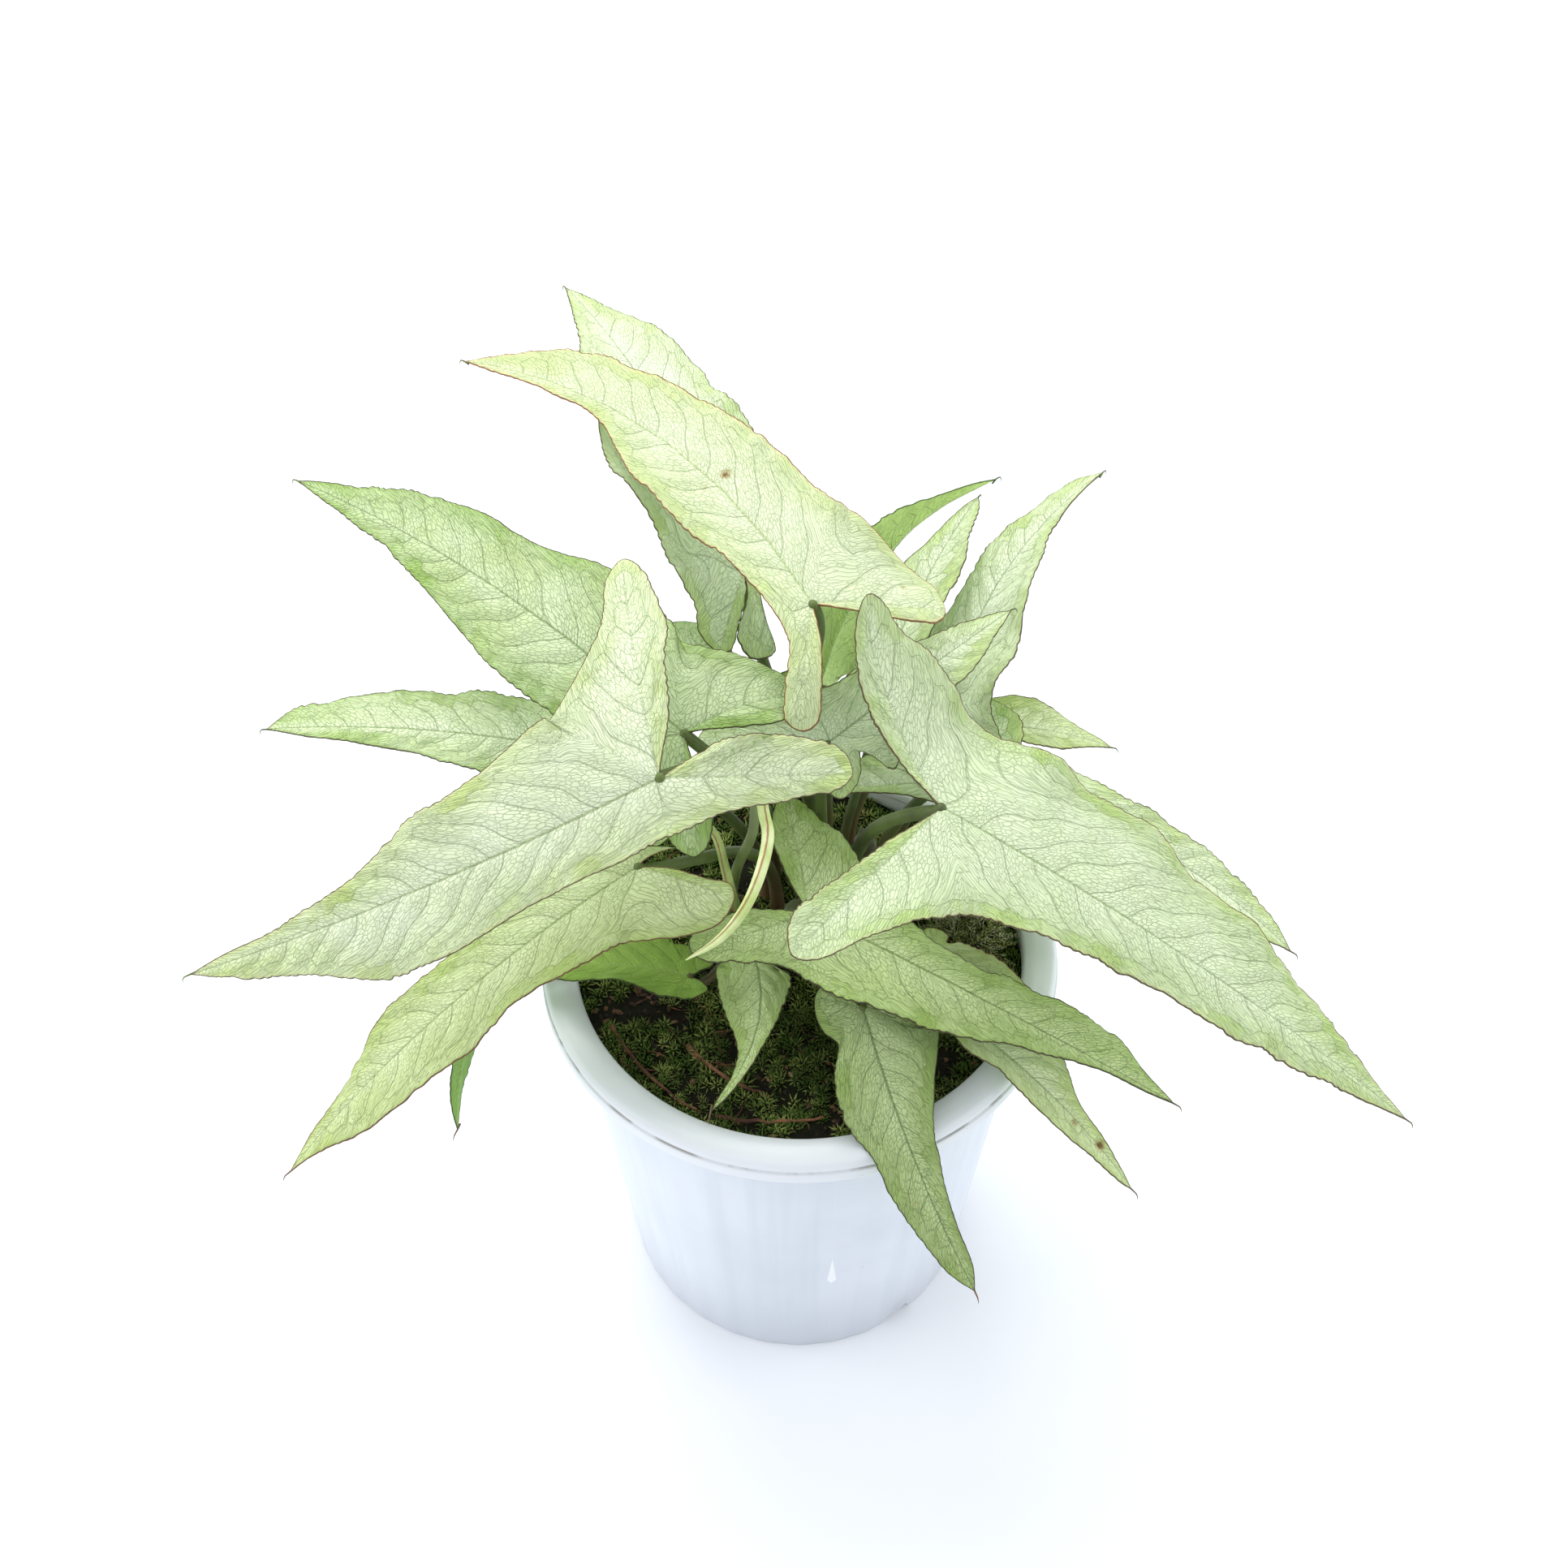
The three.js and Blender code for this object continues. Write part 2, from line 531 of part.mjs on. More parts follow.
function shoot({ path, radii }) {
  const curve = new THREE.CatmullRomCurve3(path.map((p) => new THREE.Vector3(...p)), false, 'centripetal');
  const steps = Math.max(SHOOT_STEPS, path.length + 4);
  const points = Array.from({ length: steps + 1 }, (_, k) => curve.getPoint(k / steps));
  const sizes = points.map((_, k) => {
    const u = (k / steps) * (radii.length - 1);
    const i = Math.min(Math.floor(u), radii.length - 2);
    return THREE.MathUtils.lerp(radii[i], radii[i + 1], u - i);
  });
  return tube(points, sizes, SHOOT_SIDES);
}

// ---------------------------------------------------------------- pot
function potSolid() {
  const slope = (POT_BODY_TOP_R - POT_BASE_R) / (POT_HEIGHT - LIP_HEIGHT);
  const bodyR = (z) => POT_BASE_R + slope * z;
  const lipBottom = POT_HEIGHT - LIP_HEIGHT;
  const profile = [
    [0, 0], [POT_BASE_R - 1.2, 0, true], [POT_BASE_R, 1.2, true], [bodyR(lipBottom - 2), lipBottom - 2, true],
    [LIP_OUTER_R - 1.6, lipBottom - 1], [LIP_OUTER_R, lipBottom + 0.6], [LIP_OUTER_R, lipBottom + 4.5],
    [LIP_OUTER_R - 1.2, POT_HEIGHT - 1], [LIP_OUTER_R - 3.6, POT_HEIGHT], [LIP_INNER_R + 3, POT_HEIGHT],
    [LIP_INNER_R + 0.8, POT_HEIGHT - 1], [LIP_INNER_R, POT_HEIGHT - 3],
    [bodyR(lipBottom - 2) - POT_WALL, lipBottom - 4], [bodyR(POT_FLOOR) - POT_WALL, POT_FLOOR], [0, POT_FLOOR],
  ];
  const fluted = (k, i) => (profile[k][2] ? (i % 2) * FLUTE_DEPTH : 0);
  let pot = turned(profile, 2 * FLUTES, fluted).solid();
  for (let i = 0; i < DRAIN_HOLES; i += 1) {
    const angle = (2 * Math.PI * i) / DRAIN_HOLES;
    const hole = turned([[0, -1], [DRAIN_HOLE_R, -1], [DRAIN_HOLE_R, POT_FLOOR + 1], [0, POT_FLOOR + 1]], 12);
    const x = DRAIN_RING_R * Math.cos(angle);
    const y = DRAIN_RING_R * Math.sin(angle);
    pot = pot.subtract(hole.solid().translate(x, y, 0));
  }
  return pot;
}

// ---------------------------------------------------------------- soil
function soilHeight(x, y) {
  const bumps = Math.sin(x * 0.21 + 1.3) * Math.cos(y * 0.19) + 0.5 * Math.sin(x * 0.43 - y * 0.37 + 0.6);
  return SOIL_TOP + SOIL_RELIEF * bumps;
}

function soilSolid() {
  const slope = (POT_BODY_TOP_R - POT_BASE_R) / (POT_HEIGHT - LIP_HEIGHT);
  const insideR = (z) => POT_BASE_R + slope * z - POT_WALL - GAP - 0.1;
  const floor = POT_FLOOR + GAP;
  const topR = insideR(SOIL_TOP - 5) - 0.2;
  const half = 0.5 * SOIL_TOP;
  const profile = [
    [0, floor], [insideR(floor), floor], [insideR(half), half], [topR, SOIL_TOP - 3], [topR, SOIL_TOP],
  ];
  for (let r = 50; r >= 10; r -= 10) profile.push([r, SOIL_TOP]);
  profile.push([0, SOIL_TOP]);
  const shell = turned(profile, 40);
  shell.points.forEach((v) => {
    if (v.z > SOIL_TOP - 1) v.z = soilHeight(v.x, v.y);
  });
  return shell.solid();
}

// Plain hole for something round that stands in the soil.
function soilHole(x, y, radius) {
  const wide = radius + GAP + 0.35;
  const profile = [[0, STALK_FOOT], [wide, STALK_FOOT], [wide, SOIL_TOP + 6], [0, SOIL_TOP + 6]];
  return turned(profile, 6).solid().translate(x, y, 0);
}

// ---------------------------------------------------------------- moss tuft
function tuft() {
  const under = SOIL_TOP + 2;
  const profile = [
    [0, STALK_FOOT + GAP], [TUFT_PEG_R, STALK_FOOT + GAP], [TUFT_PEG_R, under], [0.8 * TUFT_R, under],
    [TUFT_R, under + 0.25 * TUFT_HEIGHT], [0.8 * TUFT_R, under + 0.65 * TUFT_HEIGHT],
    [0.45 * TUFT_R, under + 0.9 * TUFT_HEIGHT], [0, under + TUFT_HEIGHT],
  ];
  const lumps = (k, i) => (profile[k][1] > under ? 0.9 * Math.sin(2.1 * i + 1.7 * k) : 0);
  const shell = turned(profile, 12, lumps);
  shell.points.forEach((v) => v.add(new THREE.Vector3(TUFT_AT[0], TUFT_AT[1], 0)));
  return shell;
}

// ---------------------------------------------------------------- assembly
addPiece('pot', fromSolid(potSolid()), 0xf0f2f6, 0.35);

let soil = soilSolid();
const standing = [...Object.values(LEAVES), ...Object.values(SHOOTS)];
standing.forEach((item) => {
  const radius = item.stalk ? item.stalk * (1 + STALK_SWELL) : Math.max(item.radii[0], item.radii[1]);
  soil = soil.subtract(soilHole(item.root[0], item.root[1], radius));
});
soil = soil.subtract(soilHole(TUFT_AT[0], TUFT_AT[1], TUFT_PEG_R));
addPiece('soil', fromSolid(soil), 0x2a2118, 0.95);

Object.entries(LEAVES).forEach(([name, leaf]) => {
  addPiece(`${name}_blade`, bladeShell(leaf).geometry(), TONES[leaf.tone], 0.55);
  addPiece(`${name}_stalk`, leafStalk(leaf).geometry(), STALK_COLOUR, 0.5);
});
Object.entries(SHOOTS).forEach(([name, item]) => {
  addPiece(name, shoot(item).geometry(), item.colour, 0.5);
});
addPiece('moss_tuft', tuft().geometry(), 0xa9bf6a, 0.9);
Object.entries(TWIGS).forEach(([name, path]) => {
  const bar = { path: path.map(([x, y, lift]) => [x, y, soilHeight(x, y) + TWIG_R + 2 * GAP + lift]) };
  addPiece(name, shoot({ ...bar, radii: [TWIG_R, 0.8 * TWIG_R, 0.5 * TWIG_R] }).geometry(), 0x5e3524, 0.8);
});

export default part;
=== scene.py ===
# Potted arrowhead plant: fine leaf blades, stalks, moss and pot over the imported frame.
import json
import math

import bpy
import numpy as np
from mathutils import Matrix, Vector, noise

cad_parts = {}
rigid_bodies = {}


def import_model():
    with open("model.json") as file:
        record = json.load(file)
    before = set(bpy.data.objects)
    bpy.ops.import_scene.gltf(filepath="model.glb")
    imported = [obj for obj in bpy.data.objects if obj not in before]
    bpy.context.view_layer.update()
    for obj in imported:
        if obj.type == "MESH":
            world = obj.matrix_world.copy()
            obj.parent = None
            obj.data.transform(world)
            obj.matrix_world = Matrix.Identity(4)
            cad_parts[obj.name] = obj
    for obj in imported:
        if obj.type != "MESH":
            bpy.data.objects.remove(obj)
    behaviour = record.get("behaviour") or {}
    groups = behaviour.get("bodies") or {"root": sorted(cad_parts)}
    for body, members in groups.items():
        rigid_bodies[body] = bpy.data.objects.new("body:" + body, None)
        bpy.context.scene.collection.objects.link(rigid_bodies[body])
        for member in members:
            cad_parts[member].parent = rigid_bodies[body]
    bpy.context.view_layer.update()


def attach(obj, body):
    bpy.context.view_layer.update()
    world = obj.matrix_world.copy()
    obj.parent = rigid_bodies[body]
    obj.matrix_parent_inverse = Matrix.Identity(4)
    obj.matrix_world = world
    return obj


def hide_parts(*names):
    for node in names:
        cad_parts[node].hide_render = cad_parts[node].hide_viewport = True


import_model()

MM = 0.001
TURN = 2 * math.pi

# ---------------------------------------------------------------- plant sizes, in millimetres
STATIONS = (0.92, 0.78, 0.62, 0.46, 0.30, 0.15)
LOBE_STATIONS = (0.35, 0.70, 0.93)
RIPPLE = 1.6
RIPPLE_LENGTH = 34.0
BLADE_HALF = 0.30           # half the thickness of a blade in its middle
MARGIN_HALF = 0.16          # and at its margin
ROW_STEP = 0.7              # distance between two rows of a blade
TOOTH = 0.55                # how far the margin wanders in and out
TOOTH_LENGTH = 2.8          # length of one scallop of the margin
QUILT = 0.65                # rise of the blade between two side veins
MIN_ROWS = 3                # rows between two stations, however near they are
STALK_FOOT = 114.3
STALK_RISE = 1.5            # how far a stalk stands upright out of the soil
STALK_STEP = 1.6            # distance between two rings of a stalk
STALK_SWELL = 0.5           # how much thicker a stalk is at its foot
SOIL_TOP = 126.0
SOIL_RELIEF = 0.7


# Keys of a leaf's row: at, where stalk and blade meet; aim, heading, pitch and roll of the midrib; its
# length, arch and sweep; fold of each half in percent; lobes, the ends of the basal lobes; halves, half
# widths at STATIONS; lobe_out and lobe_in, widths of each lobe outside and inside its axis at
# LOBE_STATIONS; root, where the stalk stands; stalk, its radius; sway, how straight it leaves the soil and
# reaches the blade; tone.
LEAF_KEYS = ("at", "aim", "length", "arch", "sweep", "fold", "lobes", "halves", "lobe_out", "lobe_in", "root",
             "stalk", "sway", "tone")
LEAF_ROWS = (
    ((3, 39, 226), (135, -1, -12), 136, 7, -11, (-5, 8), ((-17, 25, -11), (-22, -24, -13)),
     ((2, 3, 5, 13, 14, 11), (5, 12, 14, 16, 18, 20)), ((5, 5, 4), (26, 15, 8)), ((4, 5, 4), (3, 4, 3)),
     (-4.5, 41), 1.7, (0.6, 0.1), "young"),
    ((-15, 69, 208), (117, 6, 10), 116, 8, 0, (8, 8), ((-16, 13, -10), (-22, -0.5, -6)),
     ((3, 9, 16, 20, 23, 20), (4, 11.5, 16.5, 19, 21, 12)), ((18, 10, 7), (1.5, 0.3, 0.5)),
     ((3, 3, 3), (2.5, 8, 6)), (4, 39), 1.6, (0.45, 0.3), "silver"),
    ((-29, 8, 212), (141, 2, -25), 137, 7, -4, (-20, 8), ((-16, 23, -9), (-13, -28, -16)),
     ((2, 5, 9, 15, 18, 16), (3, 8, 14, 15, 20, 20)), ((11, 9, 4), (21, 12, 5)), ((3, 6, 4), (4, 7, 4)),
     (-7, 28), 1.6, (0.45, 0.3), "mature"),
    ((-37, 20, 185), (167, -7, -15), 111, 7, -1, (-10, 8), ((-3, 20, -2), (-2, -48, -12)),
     ((2, 4, 6, 9, 12, 14), (6, 9, 11, 12, 13, 16)), ((10, 9, 4), (16, 13, 7)), ((3, 6, 3), (6, 10, 6)),
     (-9, 22), 1.5, (0.45, 0.3), "mature"),
    ((-34, -15, 222), (-168, -21, -37), 128, 9, 3, (-10, 10), ((-41, 16, -14), (-8, -55, -26)),
     ((4, 9, 17, 17, 14, 14), (2, 4, 8, 16, 20, 25)), ((9, 6, 4), (22, 8, 5)), ((9, 9, 6), (7, 9, 5)),
     (3, 27), 1.8, (0.3, 0.6), "silver"),
    ((-41, -13, 185), (-149, -29, 4), 119, 9, 1, (0, 10), ((-13.6, 19.6, -8), (-8, -8, -14)),
     ((3, 10, 13, 14, 13, 16.5), (2, 5, 11, 12, 13, 14)), ((21, 15.5, 7), (6, 5, 3)),
     ((2, 2.5, 3.2), (2, 3, 2)), (-6, 16), 1.6, (0.6, 0.3), "sage"),
    ((35, -6, 200), (-24, -25, -3), 143, 8, -3, (8, -20), ((-45, 25, 24), (-15, -59, 10)),
     ((3, 10, 18, 23, 28, 30), (3, 7, 11, 12, 15, 21)), ((22, 14, 7), (21, 10, 5)), ((4, 6, 4), (4, 7, 5)),
     (14, 20), 1.8, (0.3, 0.3), "silver"),
    ((39, 45, 176), (56, 18, -20), 86, 6, 5, (10, 10), ((-14, 28, 0), (-14, -24, 0)),
     ((5, 7, 9, 10, 11, 15), (1, 3, 8, 13, 15, 16)), ((14, 11, 5), (12, 9, 5)), ((4, 7, 4), (4, 7, 4)),
     (25, 30), 1.4, (0.45, 0.3), "silver"),
    ((22, 50, 187), (64, 10, -10), 65, 4, 0, (12, 12), ((-6, 10, -4), (-10, -20, 0)),
     ((2, 4, 6, 8, 9, 9), (3, 5, 8, 8, 9, 9)), ((5, 4, 2), (9, 8, 4)), ((2, 3, 2), (3, 5, 3)), (11, 27),
     1.3, (0.45, 0.3), "silver"),
    ((5, 64, 168), (44, 25, -100), 77, 3, -12, (12, 12), ((-6, 14, 0), (-8, -12, 0)),
     ((1, 1.2, 1.2, 4, 10, 18), (1.5, 4, 8.5, 13, 14, 14)), ((12, 8, 4), (5, 4, 3)),
     ((3, 4, 3), (2, 3, 2)), (8, 32), 1.3, (0.45, 0.3), "green"),
    ((32, 50, 165), (7, -15, 0), 58, 5, 0, (12, 12), ((-6, 12, 0), (-5, -6, 0)),
     ((2, 5, 8, 10, 10, 9), (2, 5, 7, 6, 4, 3)), ((6, 5, 3), (3, 3, 2)), ((2, 3, 2), (1, 2, 1)), (14, 38),
     1.3, (0.45, 0.3), "yellowing"),
    ((44, 27, 171.5), (-19, -21, 12), 100, 8, 4, (12, 12), ((-4, 28, -6), (-32, -19, -2)),
     ((3, 6, 8, 9, 11, 13), (3, 8, 12, 13, 14, 15)), ((12, 10, 5), (5, 2, 2)), ((4, 7, 4), (8, 9, 5)),
     (20, 24), 1.5, (0.45, 0.3), "mature"),
    ((2, -12, 165), (-20, -20, -2), 108, 8, -5, (8, -25), ((-17, 31, 2), (-23, -28, 13)),
     ((3, 10, 10, 9, 9, 13), (1, 2, 6, 11, 15, 17)), ((15, 9, 5), (12, 8, 5)), ((5, 6, 4), (6, 6, 4)),
     (3, 12), 1.5, (0.45, 0.3), "shaded"),
    ((38, -28, 144), (-37, -26, 0), 67, 6, 0, (12, 12), ((-5, 8, 0), (-4, -6, 0)),
     ((1, 2.5, 4.2, 9, 10, 11), (2.3, 4, 6.3, 6, 5, 7)), ((4, 3, 2), (4, 3, 2)), ((1, 2, 1), (1, 2, 1)),
     (17, 6), 1.4, (0.45, 0.3), "yellowing"),
    ((16, -33, 152), (-63, -36, 9), 78, 7, -3, (4, 4), ((-4, 19, -6), (-7, -10, -2)),
     ((2.5, 3.5, 5, 7.5, 12, 18), (3.5, 6.5, 8.7, 10, 13, 12)), ((15, 9, 5), (11, 8, 4)),
     ((3, 5, 3), (2, 4, 3)), (9, 6), 1.4, (0.45, 0.3), "shaded"),
    ((-13, -12, 150), (-103, -16, 0), 46, 5, 7.5, (10, -30), ((-5, 14, 0), (-5, -12, 0)),
     ((1, 1.8, 2.6, 4.2, 6, 8.5), (1, 1.4, 3.5, 9.5, 11.5, 11.5)), ((8, 6, 3), (7, 5, 3)),
     ((3, 4, 2), (3, 4, 2)), (-4, 8), 1.2, (0.45, 0.3), "shaded"),
    ((-64, -1, 150), (-122, -37, 95), 64, 5, 8, (12, 12), ((-6, 10, 0), (-6, -8, 0)),
     ((2, 4, 7, 8, 9, 9), (2, 4, 7, 8, 9, 9)), ((6, 5, 3), (6, 5, 3)), ((2, 3, 2), (2, 3, 2)), (-12, 15.5),
     1.2, (0.3, 0.1), "green"),
    ((7, 21, 193), (38, 9, 16), 63, 5, -1, (12, 12), ((-25, 23, -10), (-5, -13, -8)),
     ((2, 4, 6, 9, 11, 11), (2, 5, 8, 9, 11, 14)), ((11, 8, 5), (8, 6, 3)), ((4, 6, 4), (3, 4, 2)),
     (7, 19), 1.4, (0.45, 0.1), "silver"),
    ((35, -12, 146), (-30, -2, 8), 30, 4, 0, (12, 12), ((-5, 8, 0), (-4, -5, 0)),
     ((2, 3, 4, 5, 5.5, 6), (1, 3, 4, 4, 4, 3)), ((4, 4, 2), (3, 2, 1)), ((2, 3, 2), (1, 2, 1)), (24, 12),
     1.1, (0.45, 0.3), "mature"),
    ((-28.8, -18.8, 146), (175, -4, 4), 42, 4, 0, (8, 8), ((-5, 4, 0), (-5, -8, 0)),
     ((2.5, 5, 7, 8, 8, 7.5), (2, 5, 8, 11, 12, 11)), ((7, 5, 3), (9, 6, 4)), ((1, 1, 0.6), (1, 2, 1)),
     (-14, 8), 1.2, (0.45, 0.3), "green"),
)
LEAVES = {f"leaf_{number:02d}": dict(zip(LEAF_KEYS, row)) for number, row in enumerate(LEAF_ROWS, start=1)}

# Leaves whose colours differ from their tone, and brown spots as along, across and size in millimetres.
LOOKS = {
    "leaf_02": "pale_silver", "leaf_04": "pale_mature", "leaf_07": "mid_silver", "leaf_08": "pale_silver",
    "leaf_09": "pale_silver", "leaf_10": "painted_backlight_green", "leaf_11": "pale_yellowing",
    "leaf_12": "pale_silver", "leaf_13": "mid_shaded", "leaf_14": "pale_yellowing",
    "leaf_16": "mid_shaded", "leaf_18": "pale_silver", "leaf_19": "sage", "leaf_20": "deep_green",
}
SPOTS = {
    "leaf_01": ((42.8, -13.2, 2.5), (44.5, -7.3, 1.6), (-10.9, -20.8, 1.6)),
    "leaf_14": ((43.2, -0.9, 1.9), (52.5, 0.3, 2.3)),
    "leaf_15": ((50.2, -6.8, 1.3),),
}


# ---------------------------------------------------------------- node graphs
class Graph:
    """Adds nodes to a shader or geometry tree; a socket as an input is linked, a value is set."""

    def __init__(self, tree):
        self.tree = tree

    def feed(self, socket, value):
        if isinstance(value, bpy.types.NodeSocket):
            self.tree.links.new(value, socket)
        else:
            socket.default_value = value

    def node(self, kind, *inputs, **named):
        """Inputs come in order, or by a capitalised name with underscores for spaces, and None leaves one as
        it is. The other names are settings of the node."""
        node = self.tree.nodes.new(kind)
        given = list(enumerate(inputs))
        for key, value in named.items():
            if key[0].isupper():
                given.append((key.replace("_", " "), value))
            else:
                setattr(node, key, value)
        for key, value in given:
            if value is not None:
                self.feed(node.inputs[key], value)
        return node

    def first(self, kind, *inputs, **named):
        """The first output of a new node."""
        return self.node(kind, *inputs, **named).outputs[0]

    def geo(self, kind, **named):
        return self.first("GeometryNode" + kind, **named)

    def math(self, operation, *values, clamp=False):
        return self.first("ShaderNodeMath", *values, operation=operation, use_clamp=clamp)

    def times(self, value, *factors):
        for factor in factors:
            value = self.math("MULTIPLY", value, factor)
        return value

    def plus(self, first, second):
        return self.math("ADD", first, second)

    def minus(self, first, second):
        return self.math("SUBTRACT", first, second)

    def most(self, first, second):
        return self.math("MAXIMUM", first, second)

    def vector(self, operation, first, second=None, scale=None):
        return self.first("ShaderNodeVectorMath", first, second, Scale=scale, operation=operation)

    def split(self, vector):
        """The X, Y and Z of a vector."""
        return self.node("ShaderNodeSeparateXYZ", vector).outputs.values()

    def combined(self, **parts):
        return self.first("ShaderNodeCombineXYZ", **parts)

    def band(self, value, low, high, start=0.0, end=1.0):
        """Smooth step of value from low to high, given out as start to end."""
        return self.first("ShaderNodeMapRange", value, low, high, start, end, interpolation_type="SMOOTHSTEP")

    def noise(self, vector, scale, detail=3.0, roughness=0.55, output=0):
        node = self.node("ShaderNodeTexNoise", Vector=vector, Scale=scale, Detail=detail, Roughness=roughness)
        return node.outputs[output]

    def edges(self, vector, scale):
        node = self.node("ShaderNodeTexVoronoi", Vector=vector, Scale=scale, feature="DISTANCE_TO_EDGE",
                         voronoi_dimensions="2D")
        return node.outputs["Distance"]

    def dots(self, vector, scale, radius, chance):
        """Round dots of about the given radius in cells; chance is the share of cells that have one."""
        cells = self.node("ShaderNodeTexVoronoi", Vector=vector, Scale=scale).outputs
        lot = self.first("ShaderNodeSeparateColor", cells["Color"])
        size = self.times(radius, self.plus(0.4, lot))
        dot = self.band(cells["Distance"], self.times(size, 0.5), size, 1.0, 0.0)
        return self.times(dot, self.math("LESS_THAN", lot, chance))

    def mix(self, factor, first, second):
        """Mixes two colours, each a socket or an sRGB hex value."""
        node = self.node("ShaderNodeMix", factor, data_type="RGBA")
        for index, value in ((6, first), (7, second)):
            self.feed(node.inputs[index], colour(value) if isinstance(value, str) else value)
        return node.outputs[2]

    def coats(self, look, *coats):
        """Lays coats over a look, each a mask and a colour."""
        for mask, tint in coats:
            look = self.mix(mask, look, tint)
        return look

    def attribute(self, name):
        return self.node("ShaderNodeAttribute", attribute_name=name).outputs["Fac"]

    def layer(self, name):
        return self.first("ShaderNodeUVMap", uv_map=name)


FLOAT, VECTOR, INTEGER = "NodeSocketFloat", "NodeSocketVector", "NodeSocketInt"
GEOMETRY, MATERIAL = "NodeSocketGeometry", "NodeSocketMaterial"


def node_group(name, kind, inputs, outputs, output_type=FLOAT):
    """An empty node group. An input is given its number or, where it has none, its socket type."""
    tree = bpy.data.node_groups.new(name, kind)
    for label, value in inputs.items():
        socket_type = {float: FLOAT, int: INTEGER}.get(type(value), value)
        socket = tree.interface.new_socket(label, in_out="INPUT", socket_type=socket_type)
        if socket_type != value:
            socket.default_value = value
    for label in outputs:
        tree.interface.new_socket(label, in_out="OUTPUT", socket_type=output_type)
    graph = Graph(tree)
    return graph, graph.node("NodeGroupInput").outputs, graph.node("NodeGroupOutput")


def colour(text):
    """Linear colour of an sRGB hex value."""
    parts = [int(text[i:i + 2], 16) / 255 for i in (0, 2, 4)]
    return (*[c / 12.92 if c <= 0.04045 else ((c + 0.055) / 1.055) ** 2.4 for c in parts], 1.0)


def finish(name, **constants):
    """The graph of a new material, with its shader and its object coordinates."""
    material = bpy.data.materials.new(name)
    material.use_nodes = True
    graph = Graph(material.node_tree)
    graph.material, graph.shader = material, material.node_tree.nodes["Principled BSDF"]
    for key, value in constants.items():
        graph.shader.inputs[key.replace("_", " ")].default_value = value
    graph.place = graph.node("ShaderNodeTexCoord").outputs["Object"]
    return graph


def painted(graph, look, height, strength, distance):
    """Ends a material with its colour and its bump."""
    graph.feed(graph.shader.inputs["Base Color"], look)
    node = graph.node("ShaderNodeBump", Height=height, Strength=strength, Distance=distance)
    graph.feed(graph.shader.inputs["Normal"], node.outputs["Normal"])
    return graph.material


def grain_group():
    """Fine grain and soft clouds over a surface, both from 0 to 1, and their height."""
    labels = ("Grain", "Clouds", "Height")
    graph, given, out = node_group("grain", "ShaderNodeTree",
                                   {"Place": VECTOR, "Grain Scale": 400.0, "Cloud Scale": 40.0}, labels)
    fine = graph.noise(given["Place"], given["Grain Scale"], 5.0, 0.65)
    clouds = graph.noise(given["Place"], given["Cloud Scale"])
    height = graph.plus(fine, graph.times(clouds, 0.5))
    for label, value in zip(labels, (graph.band(fine, 0.3, 0.7), graph.band(clouds, 0.35, 0.65), height)):
        graph.feed(out.inputs[label], value)
    return graph.tree


GRAIN = grain_group()


def grain(graph, fine, soft):
    return graph.node("ShaderNodeGroup", Place=graph.place, Grain_Scale=fine, Cloud_Scale=soft,
                      node_tree=GRAIN).outputs


